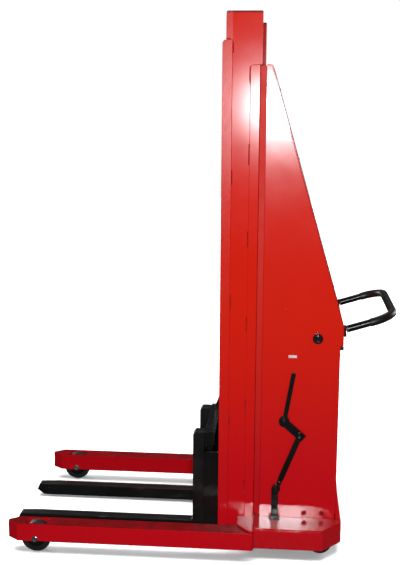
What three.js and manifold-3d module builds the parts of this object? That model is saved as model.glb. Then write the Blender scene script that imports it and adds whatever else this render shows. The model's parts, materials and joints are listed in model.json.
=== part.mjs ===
// Walk-behind straddle lift stacker with a single-stage mast, two forks, a battery-hydraulic
// power pack behind sheet covers, a U-shaped push handle and a floor lock on its left side.
// Millimetres, +Z up. The forks point along -X, the operator stands at +X, and left is -Y.
// Every piece is drawn with X = 0 on the front edge of the mast, and the finished assembly is
// then moved along X so that the origin is on the floor, under the middle of the whole machine.
import * as THREE from 'three';
import { mergeVertices } from 'three/addons/utils/BufferGeometryUtils.js';
import Module from 'manifold-3d';

const wasm = await Module();
wasm.setup();

// ---------------------------------------------------------------- driving dimensions
const GAP = 0.3;                 // between pieces that touch
const FINE = 32;                 // facets round a visible wheel
const COARSE = 24;               // facets round a pin or bush

const MAST = { front: -1, height: 2000, halfWidth: 264, plate: 6, bottom: 60 };
const SIDE_PLATE = { front: 12, rear: 134, topRear: 142, shoulder: 1816 };
const FRONT_STRIP = { width: 36, thickness: 6, top: 1900, slant: 8 };
const REAR_STRIP = { front: 100, width: 34, thickness: 6, top: 1816 };
const RAIL = { front: 40, rear: 130, web: 5.7, flange: 10, depth: 46, top: 1990 };
const COVER_RAIL = { outer: 242, depth: 30, width: 23.4, top: 1812 };

const BASE = { front: 75, notch: 140.5, top: 123, plate: 7.7, halfWidth: 375, rear: 467 };
const BASE_CORNER = { x: 395, y: 288 };
const BASE_EAR = { innerY: 344, outerY: 405, x: 123 };
const SKIRT = { bottom: 42, thickness: 4 };

const LEG = { inner: 336, outer: 411, bottom: 48, top: 115, rear: 137, wall: 6 };
const TIP = { x: -792, chamferX: 41, chamferY: 32, boxRear: -630 };
const LOAD_WHEEL = { x: -683, radius: 57, width: 42, bore: 8.6 };
const LOAD_AXLE = { radius: 8, head: 12, headHeight: 4 };

const CASTER = { x: 360, y: 292, trail: 28, radius: 45, width: 32, bore: 6.6 };

const RAM_X = 85;
const CYLINDER = { radius: 30, bore: 25, bottom: 110.3, top: 1080, floor: 14 };
const ROD = { radius: 19, bottom: 150, top: 1118, piston: 24.6, pistonHeight: 40 };
const SHEAVE = { z: 1176, radius: 35.4, flange: 44, width: 26, axle: 11 };
const CHAIN = { pitchRadius: 40, thickness: 8, width: 20, anchorZ: 400, fixedZ: 880 };

const FORK = { tip: -812, heel: -107, shank: 45, inner: 132, width: 48, top: 58, bottom: 10 };
const SHANK_TOP = 424;
const CROSSBAR = { front: -61.7, rear: -20, height: 52 };
const CHAIN_BRACKET = { halfWidth: 26, front: -36, rear: 4, top: 510, rise: 40 };
const CHEEK = {
  inner: 188.3, thickness: 12, bottom: 52, shelf: 352, top: 500, rear: 118, step: 18, notch: 66,
};
const ROLLER = { radius: 34.7, width: 28, inner: 218, axle: 12, lowZ: 160, highZ: 455 };

const SHEET = 3;
const COVER = { front: 158.3, top: 1816, topRear: 177, shoulder: 874, upperRear: 457.5 };
const LOWER_COVER = { rear: 446, top: 783.7, bottom: 147, flangeTop: 12, flangeBottom: 23 };
const KICK = { top: 279, rear: 463, halfWidth: 266 };

const HANDLE = { y: 252, rootX: 470.3, rootZ: 864, endX: 639.5, slope: 0.3125, bend: 80, tube: 13.5 };
const GRIP = { radius: 15.5, clearance: 0.5 };
const BRACKET = { y: 247, halfWidth: 20, bottom: 836, top: 873 };

const LOCK = { hubX: 245, hubZ: 507, crankX: 303, crankZ: 456, footX: 219, footZ: 243 };
const LEVER_TOP = { x: 276.9, z: 697.5 };
const LOCK_Y = { panel: -264.3, inner: -274, middle: -284, outer: -294 };
const PLUNGER = { x: 215, width: 26, padRadius: 22, padBottom: 41.7, padHeight: 18 };
const BATTERY = { front: 200, rear: 372, halfWidth: 165, top: 352, terminalX: 225, terminalY: 110 };
const SHELF = { front: 165, rear: 440, halfWidth: 255, top: 446, plate: 4, brace: 34 };
const PUMP = { front: 185, tankRear: 345, tankTop: 600, left: -180, middle: 81, right: 180 };
const PUMP_MOTOR = { x: 240, y: 130, radius: 56, blockRear: 290, blockTop: 540, top: 700, portZ: 490 };
const HOSE = { radius: 7, ferrule: 10, dropX: 150 };
const ANCHOR_BEAM = { thickness: 20, below: 50, above: 30, lug: 6, lugDrop: 40 };
const FOOT_BEAM = { front: 26, rear: 135, drop: 8 };
const TOP_BEAM = { front: 92, bottom: 1936, top: 1990 };
const CLEVIS = { halfLength: 25, gap: 1, ear: 10, tip: 14, foot: 28, boss: 5, bossEnd: 6 };
const KNOB = { x: 362, z: 830, radius: 18.5, outer: -292, shaft: 5 };

// ---------------------------------------------------------------- materials
function paint(color, roughness, metalness) {
  return () => new THREE.MeshStandardMaterial({ color, roughness, metalness });
}
const redPaint = paint(0xd22a1c, 0.32, 0.0);
const blackPaint = paint(0x16161a, 0.38, 0.0);
const rubber = paint(0x1b1b1c, 0.75, 0.0);
const tyre = paint(0x2c2b2a, 0.6, 0.0);
const steel = paint(0x9a9a98, 0.4, 0.9);
const chrome = paint(0xd8d8da, 0.12, 1.0);
const plastic = paint(0x141416, 0.45, 0.0);

// ---------------------------------------------------------------- solids
function closed(geometry) {
  const bare = geometry.index ? geometry.toNonIndexed() : geometry.clone();
  bare.deleteAttribute('normal');
  bare.deleteAttribute('uv');
  const merged = mergeVertices(bare, 1e-4);
  if (signedVolume(merged) < 0) {
    const index = merged.index.array;
    for (let i = 0; i < index.length; i += 3) {
      [index[i], index[i + 1]] = [index[i + 1], index[i]];
    }
  }
  return merged;
}

function signedVolume(geometry) {
  const position = geometry.attributes.position;
  const index = geometry.index.array;
  const [a, b, c] = [new THREE.Vector3(), new THREE.Vector3(), new THREE.Vector3()];
  let sum = 0;
  for (let i = 0; i < index.length; i += 3) {
    a.fromBufferAttribute(position, index[i]);
    b.fromBufferAttribute(position, index[i + 1]);
    c.fromBufferAttribute(position, index[i + 2]);
    sum += a.dot(b.cross(c));
  }
  return sum;
}

function toManifold(geometry) {
  const solid = closed(geometry);
  const vertProperties = Float32Array.from(solid.attributes.position.array);
  const triVerts = Uint32Array.from(solid.index.array);
  return new wasm.Manifold(new wasm.Mesh({ numProp: 3, vertProperties, triVerts }));
}

function fromManifold(manifold) {
  const mesh = manifold.getMesh();
  const geometry = new THREE.BufferGeometry();
  geometry.setAttribute('position', new THREE.BufferAttribute(mesh.vertProperties, 3));
  geometry.setIndex(new THREE.BufferAttribute(mesh.triVerts, 1));
  return geometry;
}

function join(...geometries) {
  const [first, ...others] = geometries.map(toManifold);
  return fromManifold(others.reduce((sum, other) => sum.add(other), first));
}

function cut(geometry, ...tools) {
  const solids = tools.map(toManifold);
  return fromManifold(solids.reduce((rest, tool) => rest.subtract(tool), toManifold(geometry)));
}

function shapeOf(points, ...holes) {
  const corners = points.map(([u, v]) => new THREE.Vector2(u, v));
  if (THREE.ShapeUtils.isClockWise(corners)) corners.reverse();
  const shape = new THREE.Shape(corners);
  shape.holes = holes;
  return shape;
}

function circleHole(u, v, radius, facets = COARSE) {
  const points = [];
  for (let i = 0; i < facets; i++) {
    const angle = -2 * Math.PI * i / facets;
    points.push(new THREE.Vector2(u + radius * Math.cos(angle), v + radius * Math.sin(angle)));
  }
  return new THREE.Path(points);
}

function rectHole(u0, u1, v0, v1) {
  return new THREE.Path([[u0, v0], [u0, v1], [u1, v1], [u1, v0]].map(([u, v]) => new THREE.Vector2(u, v)));
}

function block(x0, x1, y0, y1, z0, z1) {
  const box = new THREE.BoxGeometry(x1 - x0, Math.abs(y1 - y0), z1 - z0);
  return box.translate((x0 + x1) / 2, (y0 + y1) / 2, (z0 + z1) / 2);
}

// An outline in X and Z, as thick as y0 to y1.
function sidePlate(shape, y0, y1) {
  const depth = Math.abs(y1 - y0);
  const plate = new THREE.ExtrudeGeometry(shape, { depth, bevelEnabled: false, steps: 1, curveSegments: 6 });
  return plate.rotateX(Math.PI / 2).translate(0, Math.max(y0, y1), 0);
}

// An outline in X and Y, as high as z0 to z1.
function floorPlate(shape, z0, z1) {
  const plate = new THREE.ExtrudeGeometry(shape, { depth: z1 - z0, bevelEnabled: false, steps: 1 });
  return plate.translate(0, 0, z0);
}

// An outline in Y and Z, as long as x0 to x1.
function beam(shape, x0, x1) {
  const plate = new THREE.ExtrudeGeometry(shape, { depth: x1 - x0, bevelEnabled: false, steps: 1 });
  const turn = new THREE.Matrix4().makeBasis(
    new THREE.Vector3(0, 1, 0),
    new THREE.Vector3(0, 0, 1),
    new THREE.Vector3(1, 0, 0),
  );
  return plate.applyMatrix4(turn).translate(x0, 0, 0);
}

// A turned piece: profile points are [radius, distance along the axis].
function turned(profile, axis, facets = COARSE) {
  const lathe = new THREE.LatheGeometry(profile.map(([r, h]) => new THREE.Vector2(r, h)), facets);
  if (axis === 'z') lathe.rotateX(Math.PI / 2);
  if (axis === 'x') lathe.rotateZ(-Math.PI / 2);
  return lathe;
}

function rod(radius, from, to, axis, facets = COARSE) {
  return turned([[0, from], [radius, from], [radius, to], [0, to]], axis, facets);
}

function ring(inner, outer, from, to, axis, facets = COARSE) {
  return turned([[inner, from], [outer, from], [outer, to], [inner, to], [inner, from]], axis, facets);
}

// The same open outline moved sideways by distance, to the left of its direction of travel.
function offsetLine(points, distance) {
  const normals = points.slice(1).map(([u, v], i) => {
    const [du, dv] = [u - points[i][0], v - points[i][1]];
    const length = Math.hypot(du, dv);
    return [-dv / length, du / length];
  });
  return points.map(([u, v], i) => {
    const a = normals[Math.max(i - 1, 0)];
    const b = normals[Math.min(i, normals.length - 1)];
    const scale = distance / (1 + a[0] * b[0] + a[1] * b[1]);
    return [u + (a[0] + b[0]) * scale, v + (a[1] + b[1]) * scale];
  });
}

function bentSheet(points, thickness) {
  return shapeOf([...points, ...offsetLine(points, thickness).reverse()]);
}

const lift = new THREE.Group();

function add(name, material, geometry) {
  const mesh = new THREE.Mesh(closed(geometry), material());
  mesh.name = name;
  lift.add(mesh);
  return mesh;
}

const SIDES = [['left', -1], ['right', 1]];

// ---------------------------------------------------------------- base
function mirrored(half) {
  return [...half, ...half.map(([x, y]) => [x, -y]).reverse()];
}

function addBase() {
  const half = [
    [BASE.notch, MAST.halfWidth + FRONT_STRIP.thickness + 0.5],
    [BASE.front, MAST.halfWidth + FRONT_STRIP.thickness + 0.5],
    [BASE.front, BASE_EAR.innerY],
    [BASE_EAR.x, BASE_EAR.outerY],
    [LEG.rear, BASE_EAR.outerY],
    [LEG.rear, BASE.halfWidth],
    [BASE_CORNER.x, BASE.halfWidth],
    [BASE.rear, BASE_CORNER.y],
  ];
  const halfSlot = PLUNGER.width / 2 + 4;
  const slot = rectHole(PLUNGER.x - halfSlot, PLUNGER.x + halfSlot, LOCK_Y.middle - 3, LOCK_Y.inner + 3);
  add('base_plate', redPaint, floorPlate(shapeOf(mirrored(half), slot), BASE.top - BASE.plate, BASE.top));

  const skirtLine = [
    [LEG.rear + GAP, BASE.halfWidth],
    [BASE_CORNER.x, BASE.halfWidth],
    [BASE.rear, BASE_CORNER.y],
  ];
  const skirt = bentSheet(mirrored(skirtLine), -SKIRT.thickness);
  add('base_skirt', redPaint, floorPlate(skirt, SKIRT.bottom, LEG.top));

  const slope = sidePlate(
    bentSheet([[LOWER_COVER.rear + GAP, KICK.top], [KICK.rear, BASE.top + GAP]], -SHEET),
    -KICK.halfWidth,
    KICK.halfWidth,
  );
  const gusset = shapeOf([
    [LOWER_COVER.rear + GAP, KICK.top],
    [LOWER_COVER.rear + GAP, BASE.top + GAP],
    [KICK.rear, BASE.top + GAP],
  ]);
  const trimFront = block(LOWER_COVER.rear - 20, LOWER_COVER.rear + GAP, -300, 300, BASE.top, KICK.top + 10);
  const trimBelow = block(LOWER_COVER.rear - 20, KICK.rear + 20, -300, 300, BASE.top - 20, BASE.top + GAP);
  const ends = SIDES.map(([, s]) => sidePlate(gusset, s * (KICK.halfWidth - SHEET), s * KICK.halfWidth));
  add('kick_skirt', redPaint, cut(join(slope, ...ends), trimFront, trimBelow));
}

// ---------------------------------------------------------------- straddle legs and load wheels
function addLegs() {
  for (const [side, s] of SIDES) {
    const channel = shapeOf([
      [LEG.inner, LEG.bottom],
      [LEG.inner, LEG.top],
      [LEG.outer, LEG.top],
      [LEG.outer, LEG.bottom],
      [LEG.outer - LEG.wall, LEG.bottom],
      [LEG.outer - LEG.wall, LEG.top - LEG.wall],
      [LEG.inner + LEG.wall, LEG.top - LEG.wall],
      [LEG.inner + LEG.wall, LEG.bottom],
    ].map(([y, z]) => [s * y, z]));
    const nose = shapeOf([
      [TIP.boxRear, s * LEG.inner],
      [TIP.x + TIP.chamferX, s * LEG.inner],
      [TIP.x, s * (LEG.inner + TIP.chamferY)],
      [TIP.x, s * (LEG.outer - TIP.chamferY)],
      [TIP.x + TIP.chamferX, s * LEG.outer],
      [TIP.boxRear, s * LEG.outer],
    ]);
    const wheelWell = block(
      LOAD_WHEEL.x - LOAD_WHEEL.radius - 5,
      TIP.boxRear + 1,
      s * (LEG.inner + 8),
      s * (LEG.outer - 8),
      LEG.bottom - 5,
      LEG.top - LEG.wall,
    );
    const slot = block(
      LOAD_WHEEL.x - 40,
      LOAD_WHEEL.x + 42,
      s * (LEG.inner + 14),
      s * (LEG.outer - 14),
      LEG.bottom,
      LEG.top + 5,
    );
    const bore = rod(LOAD_AXLE.radius + 0.1, LEG.inner - 5, LEG.outer + 5, 'y').scale(1, s, 1);
    bore.translate(LOAD_WHEEL.x, 0, LOAD_WHEEL.radius);
    const tip = cut(floorPlate(nose, LEG.bottom, LEG.top), wheelWell, slot, bore);
    add(`leg_${side}`, redPaint, join(beam(channel, TIP.boxRear - 0.5, LEG.rear), tip));

    const middle = s * (LEG.inner + LEG.outer) / 2;
    const half = LOAD_WHEEL.width / 2;
    const wheel = turned([
      [LOAD_WHEEL.bore, -half],
      [20, -half],
      [22, -half + 7],
      [42, -half + 7],
      [44, -half],
      [LOAD_WHEEL.radius - 3, -half],
      [LOAD_WHEEL.radius, -half + 4],
      [LOAD_WHEEL.radius, half - 4],
      [LOAD_WHEEL.radius - 3, half],
      [44, half],
      [42, half - 7],
      [22, half - 7],
      [20, half],
      [LOAD_WHEEL.bore, half],
      [LOAD_WHEEL.bore, -half],
    ], 'y', FINE);
    add(`load_wheel_${side}`, tyre, wheel.translate(LOAD_WHEEL.x, middle, LOAD_WHEEL.radius));

    const axle = turned([
      [0, LEG.inner - LOAD_AXLE.headHeight - GAP],
      [LOAD_AXLE.head, LEG.inner - LOAD_AXLE.headHeight - GAP],
      [LOAD_AXLE.head, LEG.inner - GAP],
      [LOAD_AXLE.radius - 0.1, LEG.inner - GAP],
      [LOAD_AXLE.radius - 0.1, LEG.outer + GAP],
      [LOAD_AXLE.head, LEG.outer + GAP],
      [LOAD_AXLE.head, LEG.outer + GAP + LOAD_AXLE.headHeight],
      [0, LEG.outer + GAP + LOAD_AXLE.headHeight],
    ], 'y').scale(1, s, 1);
    add(`load_axle_${side}`, steel, axle.translate(LOAD_WHEEL.x, 0, LOAD_WHEEL.radius));
  }
}

// ---------------------------------------------------------------- swivel casters
function addCasters() {
  const plateTop = BASE.top - BASE.plate - GAP;
  const raceTop = plateTop - 6;
  const yokeTop = raceTop - 8;
  const yokeInner = CASTER.width / 2 + 2;
  const axleX = CASTER.x + CASTER.trail;
  for (const [side, s] of SIDES) {
    const y = s * CASTER.y;
    const plate = block(CASTER.x - 42, CASTER.x + 42, y - 34, y + 34, raceTop, plateTop);
    const race = rod(26, yokeTop + GAP, raceTop + 1, 'z').translate(CASTER.x, y, 0);
    add(`caster_plate_${side}`, steel, join(plate, race));

    const crown = rod(30, yokeTop - 4, yokeTop, 'z').translate(CASTER.x, y, 0);
    const cheekShape = shapeOf([
      [CASTER.x - 24, yokeTop - 1],
      [CASTER.x + 24, yokeTop - 1],
      [axleX + 14, CASTER.radius + 6],
      [axleX + 8, CASTER.radius - 12],
      [axleX - 8, CASTER.radius - 12],
      [CASTER.x - 10, CASTER.radius + 18],
    ]);
    const cheeks = SIDES.map(([, t]) => sidePlate(cheekShape, y + t * yokeInner, y + t * (yokeInner + 4)));
    const axle = rod(6, -yokeInner - 8, yokeInner + 8, 'y').translate(axleX, y, CASTER.radius);
    add(`caster_fork_${side}`, steel, join(crown, ...cheeks, axle));

    const half = CASTER.width / 2;
    const wheel = turned([
      [CASTER.bore, -half],
      [15, -half],
      [17, -half + 5],
      [31, -half + 5],
      [33, -half],
      [CASTER.radius - 4, -half],
      [CASTER.radius, -half + 5],
      [CASTER.radius, half - 5],
      [CASTER.radius - 4, half],
      [33, half],
      [31, half - 5],
      [17, half - 5],
      [15, half],
      [CASTER.bore, half],
      [CASTER.bore, -half],
    ], 'y', FINE);
    add(`caster_wheel_${side}`, tyre, wheel.translate(axleX, y, CASTER.radius));
  }
}

// ---------------------------------------------------------------- mast
function addMast() {
  const outer = MAST.halfWidth;
  const inner = outer - MAST.plate;
  const webOuter = inner - GAP;
  const webInner = webOuter - RAIL.web;
  const flangeTip = webOuter - RAIL.depth;
  const sideShape = shapeOf([
    [SIDE_PLATE.front, MAST.bottom],
    [SIDE_PLATE.rear, MAST.bottom],
    [SIDE_PLATE.rear, SIDE_PLATE.shoulder],
    [SIDE_PLATE.topRear, SIDE_PLATE.shoulder],
    [SIDE_PLATE.topRear, MAST.height - 3],
    [SIDE_PLATE.topRear - 3, MAST.height],
    [SIDE_PLATE.front + 6, MAST.height],
    [SIDE_PLATE.front + 1.5, MAST.height - 2],
    [SIDE_PLATE.front, MAST.height - 8],
  ]);
  const frontShape = shapeOf([
    [MAST.front, MAST.bottom],
    [MAST.front + FRONT_STRIP.width, MAST.bottom],
    [MAST.front + FRONT_STRIP.width, FRONT_STRIP.top],
    [MAST.front + FRONT_STRIP.slant, FRONT_STRIP.top],
    [MAST.front, FRONT_STRIP.top - FRONT_STRIP.slant],
  ]);
  const rearShape = shapeOf([
    [REAR_STRIP.front, BASE.top + GAP],
    [REAR_STRIP.front + REAR_STRIP.width, BASE.top + GAP],
    [REAR_STRIP.front + REAR_STRIP.width, REAR_STRIP.top],
    [REAR_STRIP.front, REAR_STRIP.top - 4],
  ]);
  const railShape = (s) => shapeOf([
    [RAIL.front, webOuter],
    [RAIL.front, flangeTip],
    [RAIL.front + RAIL.flange, flangeTip],
    [RAIL.front + RAIL.flange, webInner],
    [RAIL.rear - RAIL.flange, webInner],
    [RAIL.rear - RAIL.flange, flangeTip],
    [RAIL.rear, flangeTip],
    [RAIL.rear, webOuter],
  ].map(([x, y]) => [x, s * y]));
  for (const [side, s] of SIDES) {
    const weldment = join(
      sidePlate(sideShape, s * inner, s * outer),
      sidePlate(frontShape, s * (outer - 1), s * (outer + FRONT_STRIP.thickness)),
      sidePlate(rearShape, s * (outer - 1), s * (outer + REAR_STRIP.thickness)),
    );
    add(`mast_side_${side}`, redPaint, weldment);
    add(`mast_rail_${side}`, redPaint, floorPlate(railShape(s), MAST.bottom, RAIL.top));
  }
  const tie = flangeTip - GAP;
  const footBottom = MAST.bottom - FOOT_BEAM.drop;
  const footBeam = block(FOOT_BEAM.front, FOOT_BEAM.rear, -tie, tie, footBottom, CYLINDER.bottom - GAP);
  add('mast_foot_beam', redPaint, footBeam);
  const topBeam = beam(shapeOf([
    [-webInner + GAP, TOP_BEAM.bottom],
    [webInner - GAP, TOP_BEAM.bottom],
    [webInner - GAP, TOP_BEAM.top],
    [-webInner + GAP, TOP_BEAM.top],
  ]), TOP_BEAM.front, RAIL.rear - RAIL.flange - GAP);
  add('mast_top_beam', redPaint, topBeam);

  const lugY = CHAIN.width / 2 + 1;
  const lugs = SIDES.map(([, s]) => block(
    RAM_X + CYLINDER.radius + 2,
    RAIL.rear + 2,
    s * lugY,
    s * (lugY + ANCHOR_BEAM.lug),
    CHAIN.fixedZ - ANCHOR_BEAM.lugDrop,
    CHAIN.fixedZ + 4,
  ));
  const anchorReach = COVER_RAIL.outer - COVER_RAIL.depth - GAP;
  const beamBody = block(
    RAIL.rear + GAP,
    RAIL.rear + ANCHOR_BEAM.thickness,
    -anchorReach,
    anchorReach,
    CHAIN.fixedZ - ANCHOR_BEAM.below,
    CHAIN.fixedZ + ANCHOR_BEAM.above,
  );
  add('chain_anchor_beam', redPaint, join(beamBody, ...lugs));

  for (const [side, s] of SIDES) {
    const rail = block(
      SIDE_PLATE.rear + GAP,
      SIDE_PLATE.rear + GAP + COVER_RAIL.width,
      s * (COVER_RAIL.outer - COVER_RAIL.depth),
      s * COVER_RAIL.outer,
      BASE.top + GAP,
      COVER_RAIL.top,
    );
    add(`cover_rail_${side}`, redPaint, rail);
  }
}

// ---------------------------------------------------------------- lift cylinder, ram and chains
function chainRun(z0, z1, x) {
  const half = CHAIN.thickness / 2;
  return block(x - half, x + half, -CHAIN.width / 2, CHAIN.width / 2, z0, z1);
}

function addRam() {
  const tube = turned([
    [0, CYLINDER.bottom],
    [CYLINDER.radius, CYLINDER.bottom],
    [CYLINDER.radius, CYLINDER.top],
    [CYLINDER.bore, CYLINDER.top],
    [CYLINDER.bore, CYLINDER.bottom + CYLINDER.floor],
    [0, CYLINDER.bottom + CYLINDER.floor],
  ], 'z', FINE);
  const port = rod(11, CYLINDER.radius - 4, CYLINDER.radius + 14, 'x').translate(0, 0, CYLINDER.bottom + 40);
  const portBore = rod(5, CYLINDER.bore - 4, CYLINDER.radius + 20, 'x').translate(0, 0, CYLINDER.bottom + 40);
  add('lift_cylinder', blackPaint, cut(join(tube, port), portBore).translate(RAM_X, 0, 0));

  const glandBottom = CYLINDER.top + GAP;
  const gland = ring(ROD.radius + 0.3, CYLINDER.radius + 3, glandBottom, ROD.top - 8, 'z', FINE);
  add('cylinder_gland', steel, gland.translate(RAM_X, 0, 0));

  const ram = turned([
    [0, ROD.bottom],
    [ROD.piston, ROD.bottom],
    [ROD.piston, ROD.bottom + ROD.pistonHeight],
    [ROD.radius, ROD.bottom + ROD.pistonHeight],
    [ROD.radius, ROD.top],
    [0, ROD.top],
  ], 'z', FINE);
  add('piston_rod', chrome, ram.translate(RAM_X, 0, 0));

  const earShape = shapeOf([
    [RAM_X - CLEVIS.halfLength, ROD.top + GAP],
    [RAM_X + CLEVIS.halfLength, ROD.top + GAP],
    [RAM_X + CLEVIS.halfLength, SHEAVE.z - 10],
    [RAM_X + CLEVIS.tip, SHEAVE.z + 20],
    [RAM_X - CLEVIS.tip, SHEAVE.z + 20],
    [RAM_X - CLEVIS.halfLength, SHEAVE.z - 10],
  ]);
  const earInner = SHEAVE.width / 2 + CLEVIS.gap;
  const earOuter = earInner + CLEVIS.ear;
  const ears = SIDES.map(([, s]) => sidePlate(earShape, s * earInner, s * earOuter));
  const foot = rod(CLEVIS.foot, ROD.top + GAP, ROD.top + 12, 'z').translate(RAM_X, 0, 0);
  const boss = SHEAVE.axle + CLEVIS.boss;
  const axle = turned([
    [0, -earOuter - CLEVIS.bossEnd],
    [boss, -earOuter - CLEVIS.bossEnd],
    [boss, -earOuter + 1],
    [SHEAVE.axle, -earOuter + 1],
    [SHEAVE.axle, earOuter - 1],
    [boss, earOuter - 1],
    [boss, earOuter + CLEVIS.bossEnd],
    [0, earOuter + CLEVIS.bossEnd],
  ], 'y').translate(RAM_X, 0, SHEAVE.z);
  add('ram_crosshead', blackPaint, join(foot, ...ears, axle));

  const half = SHEAVE.width / 2;
  const sheave = turned([
    [SHEAVE.axle + 0.4, -half],
    [SHEAVE.flange, -half],
    [SHEAVE.flange, -half + 1],
    [SHEAVE.radius, -half + 2],
    [SHEAVE.radius, half - 2],
    [SHEAVE.flange, half - 1],
    [SHEAVE.flange, half],
    [SHEAVE.axle + 0.4, half],
    [SHEAVE.axle + 0.4, -half],
  ], 'y', FINE);
  add('chain_sheave', steel, sheave.translate(RAM_X, 0, SHEAVE.z));

  const front = RAM_X - CHAIN.pitchRadius;
  const rear = RAM_X + CHAIN.pitchRadius;
  add('chain_front_run', steel, chainRun(CHAIN.anchorZ + GAP, SHEAVE.z - 3 * GAP, front));
  add('chain_rear_run', steel, chainRun(CHAIN.fixedZ, SHEAVE.z - 3 * GAP, rear));

  const arc = [];
  const steps = 12;
  for (let i = 0; i <= steps; i++) {
    const angle = Math.PI * i / steps;
    arc.push([RAM_X + CHAIN.pitchRadius * Math.cos(angle), SHEAVE.z + CHAIN.pitchRadius * Math.sin(angle)]);
  }
  const innerArc = offsetLine(arc, CHAIN.thickness / 2);
  const outerArc = offsetLine(arc, -CHAIN.thickness / 2);
  const wrapShape = shapeOf([...outerArc, ...innerArc.reverse()]);
  add('chain_over_sheave', steel, sidePlate(wrapShape, -CHAIN.width / 2, CHAIN.width / 2));
}

// ---------------------------------------------------------------- carriage and forks
function addCarriage() {
  const reach = CHEEK.inner - GAP;
  const upper = block(CROSSBAR.front, CROSSBAR.rear, -reach, reach, SHANK_TOP - CROSSBAR.height, SHANK_TOP);
  const lowerBottom = CHEEK.bottom + 8;
  const lowerTop = lowerBottom + CROSSBAR.height;
  const lower = block(CROSSBAR.front, CROSSBAR.rear, -reach, reach, lowerBottom, lowerTop);
  const armBottom = SHANK_TOP - CROSSBAR.height + 2;
  const armRear = RAM_X - CYLINDER.radius - 4.5;
  const { halfWidth, front, rear, top, rise } = CHAIN_BRACKET;
  const bracketShape = shapeOf([
    [CROSSBAR.rear - 20, armBottom],
    [armRear, armBottom],
    [armRear, CHAIN.anchorZ],
    [rear + 8, CHAIN.anchorZ],
    [rear, top],
    [front + 16, top],
    [front, top - rise],
  ]);
  const bracket = sidePlate(bracketShape, -halfWidth, halfWidth);
  const spine = block(
    CROSSBAR.front + 2,
    CROSSBAR.rear - 20,
    -halfWidth,
    halfWidth,
    lowerTop - 2,
    SHANK_TOP - 20,
  );
  add('carriage_frame', blackPaint, join(upper, lower, bracket, spine));

  const cheekShape = shapeOf([
    [CROSSBAR.front, CHEEK.bottom],
    [CHEEK.step, CHEEK.bottom],
    [CHEEK.step, CHEEK.bottom + CHEEK.notch],
    [CHEEK.rear, CHEEK.bottom + CHEEK.notch],
    [CHEEK.rear, CHEEK.top],
    [CHAIN_BRACKET.rear, CHEEK.top],
    [CHAIN_BRACKET.rear, CHEEK.shelf],
    [CROSSBAR.front + 14, CHEEK.shelf],
    [CROSSBAR.front + 4, CHEEK.shelf - 4],
    [CROSSBAR.front, CHEEK.shelf - 14],
  ]);
  for (const [side, s] of SIDES) {
    const outer = CHEEK.inner + CHEEK.thickness;
    const stubs = [ROLLER.lowZ, ROLLER.highZ].flatMap((z) => [
      rod(ROLLER.axle, outer - 2, ROLLER.inner + ROLLER.width + 2, 'y').scale(1, s, 1).translate(RAM_X, 0, z),
      rod(ROLLER.axle + 5, outer - 2, ROLLER.inner - 1, 'y').scale(1, s, 1).translate(RAM_X, 0, z),
    ]);
    const plate = sidePlate(cheekShape, s * CHEEK.inner, s * outer);
    add(`carriage_cheek_${side}`, blackPaint, join(plate, ...stubs));

    for (const [level, z] of [['lower', ROLLER.lowZ], ['upper', ROLLER.highZ]]) {
      const far = ROLLER.inner + ROLLER.width;
      const roller = turned([
        [ROLLER.axle + 0.4, ROLLER.inner],
        [ROLLER.radius - 2, ROLLER.inner],
        [ROLLER.radius, ROLLER.inner + 2],
        [ROLLER.radius, far - 2],
        [ROLLER.radius - 2, far],
        [ROLLER.axle + 0.4, far],
        [ROLLER.axle + 0.4, ROLLER.inner],
      ], 'y', FINE).scale(1, s, 1);
      add(`mast_roller_${level}_${side}`, steel, roller.translate(RAM_X, 0, z));
    }

    const forkShape = shapeOf([
      [FORK.tip, 32],
      [FORK.tip + 31, FORK.bottom],
      [FORK.heel + FORK.shank, FORK.bottom],
      [FORK.heel + FORK.shank, SHANK_TOP],
      [FORK.heel + 10, SHANK_TOP],
      [FORK.heel, SHANK_TOP - 12],
      [FORK.heel, FORK.top + 6],
      [FORK.heel - 6, FORK.top],
      [FORK.tip + 90, FORK.top],
      [FORK.tip + 10, FORK.top - 3],
    ]);
    const forkBar = sidePlate(forkShape, s * FORK.inner, s * (FORK.inner + FORK.width));
    add(`fork_${side}`, blackPaint, forkBar);
  }
}

// ---------------------------------------------------------------- covers
function addCovers() {
  const outerLine = [
    [COVER.front, COVER.top],
    [COVER.topRear, COVER.top],
    [COVER.upperRear, COVER.shoulder],
    [COVER.upperRear, LOWER_COVER.top + 2 * GAP],
  ];
  const half = MAST.halfWidth;
  add('upper_rear_cover', redPaint, sidePlate(bentSheet(outerLine, -SHEET), -half, half));

  const backY = half - SHEET - GAP;
  const { rear, bottom, top } = LOWER_COVER;
  const back = block(rear - SHEET, rear, -half - 2, half + 2, bottom, top);
  const flangeShape = shapeOf([
    [LOWER_COVER.rear, LOWER_COVER.bottom],
    [LOWER_COVER.rear, LOWER_COVER.top],
    [LOWER_COVER.rear - LOWER_COVER.flangeTop, LOWER_COVER.top],
    [LOWER_COVER.rear - LOWER_COVER.flangeBottom, LOWER_COVER.bottom],
  ]);
  const flanges = SIDES.map(([, s]) => sidePlate(flangeShape, s * (half + GAP), s * (half + 2.4)));
  add('lower_rear_cover', redPaint, join(back, ...flanges));

  const edge = offsetLine(outerLine, -SHEET - GAP);
  const knobHole = circleHole(KNOB.x, KNOB.z, KNOB.shaft + 1);
  const panelLine = [
    [COVER.front, BASE.top + GAP],
    [COVER.front, edge[0][1]],
    edge[1],
    edge[2],
    [edge[3][0], LOWER_COVER.top + 2 * GAP],
    [LOWER_COVER.rear - SHEET - GAP, LOWER_COVER.top + 2 * GAP],
    [LOWER_COVER.rear - SHEET - GAP, BASE.top + GAP],
  ];
  for (const [side, s] of SIDES) {
    const holes = s < 0 ? [knobHole] : [];
    add(`side_panel_${side}`, redPaint, sidePlate(shapeOf(panelLine, ...holes), s * (backY + GAP), s * half));
  }
}

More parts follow.
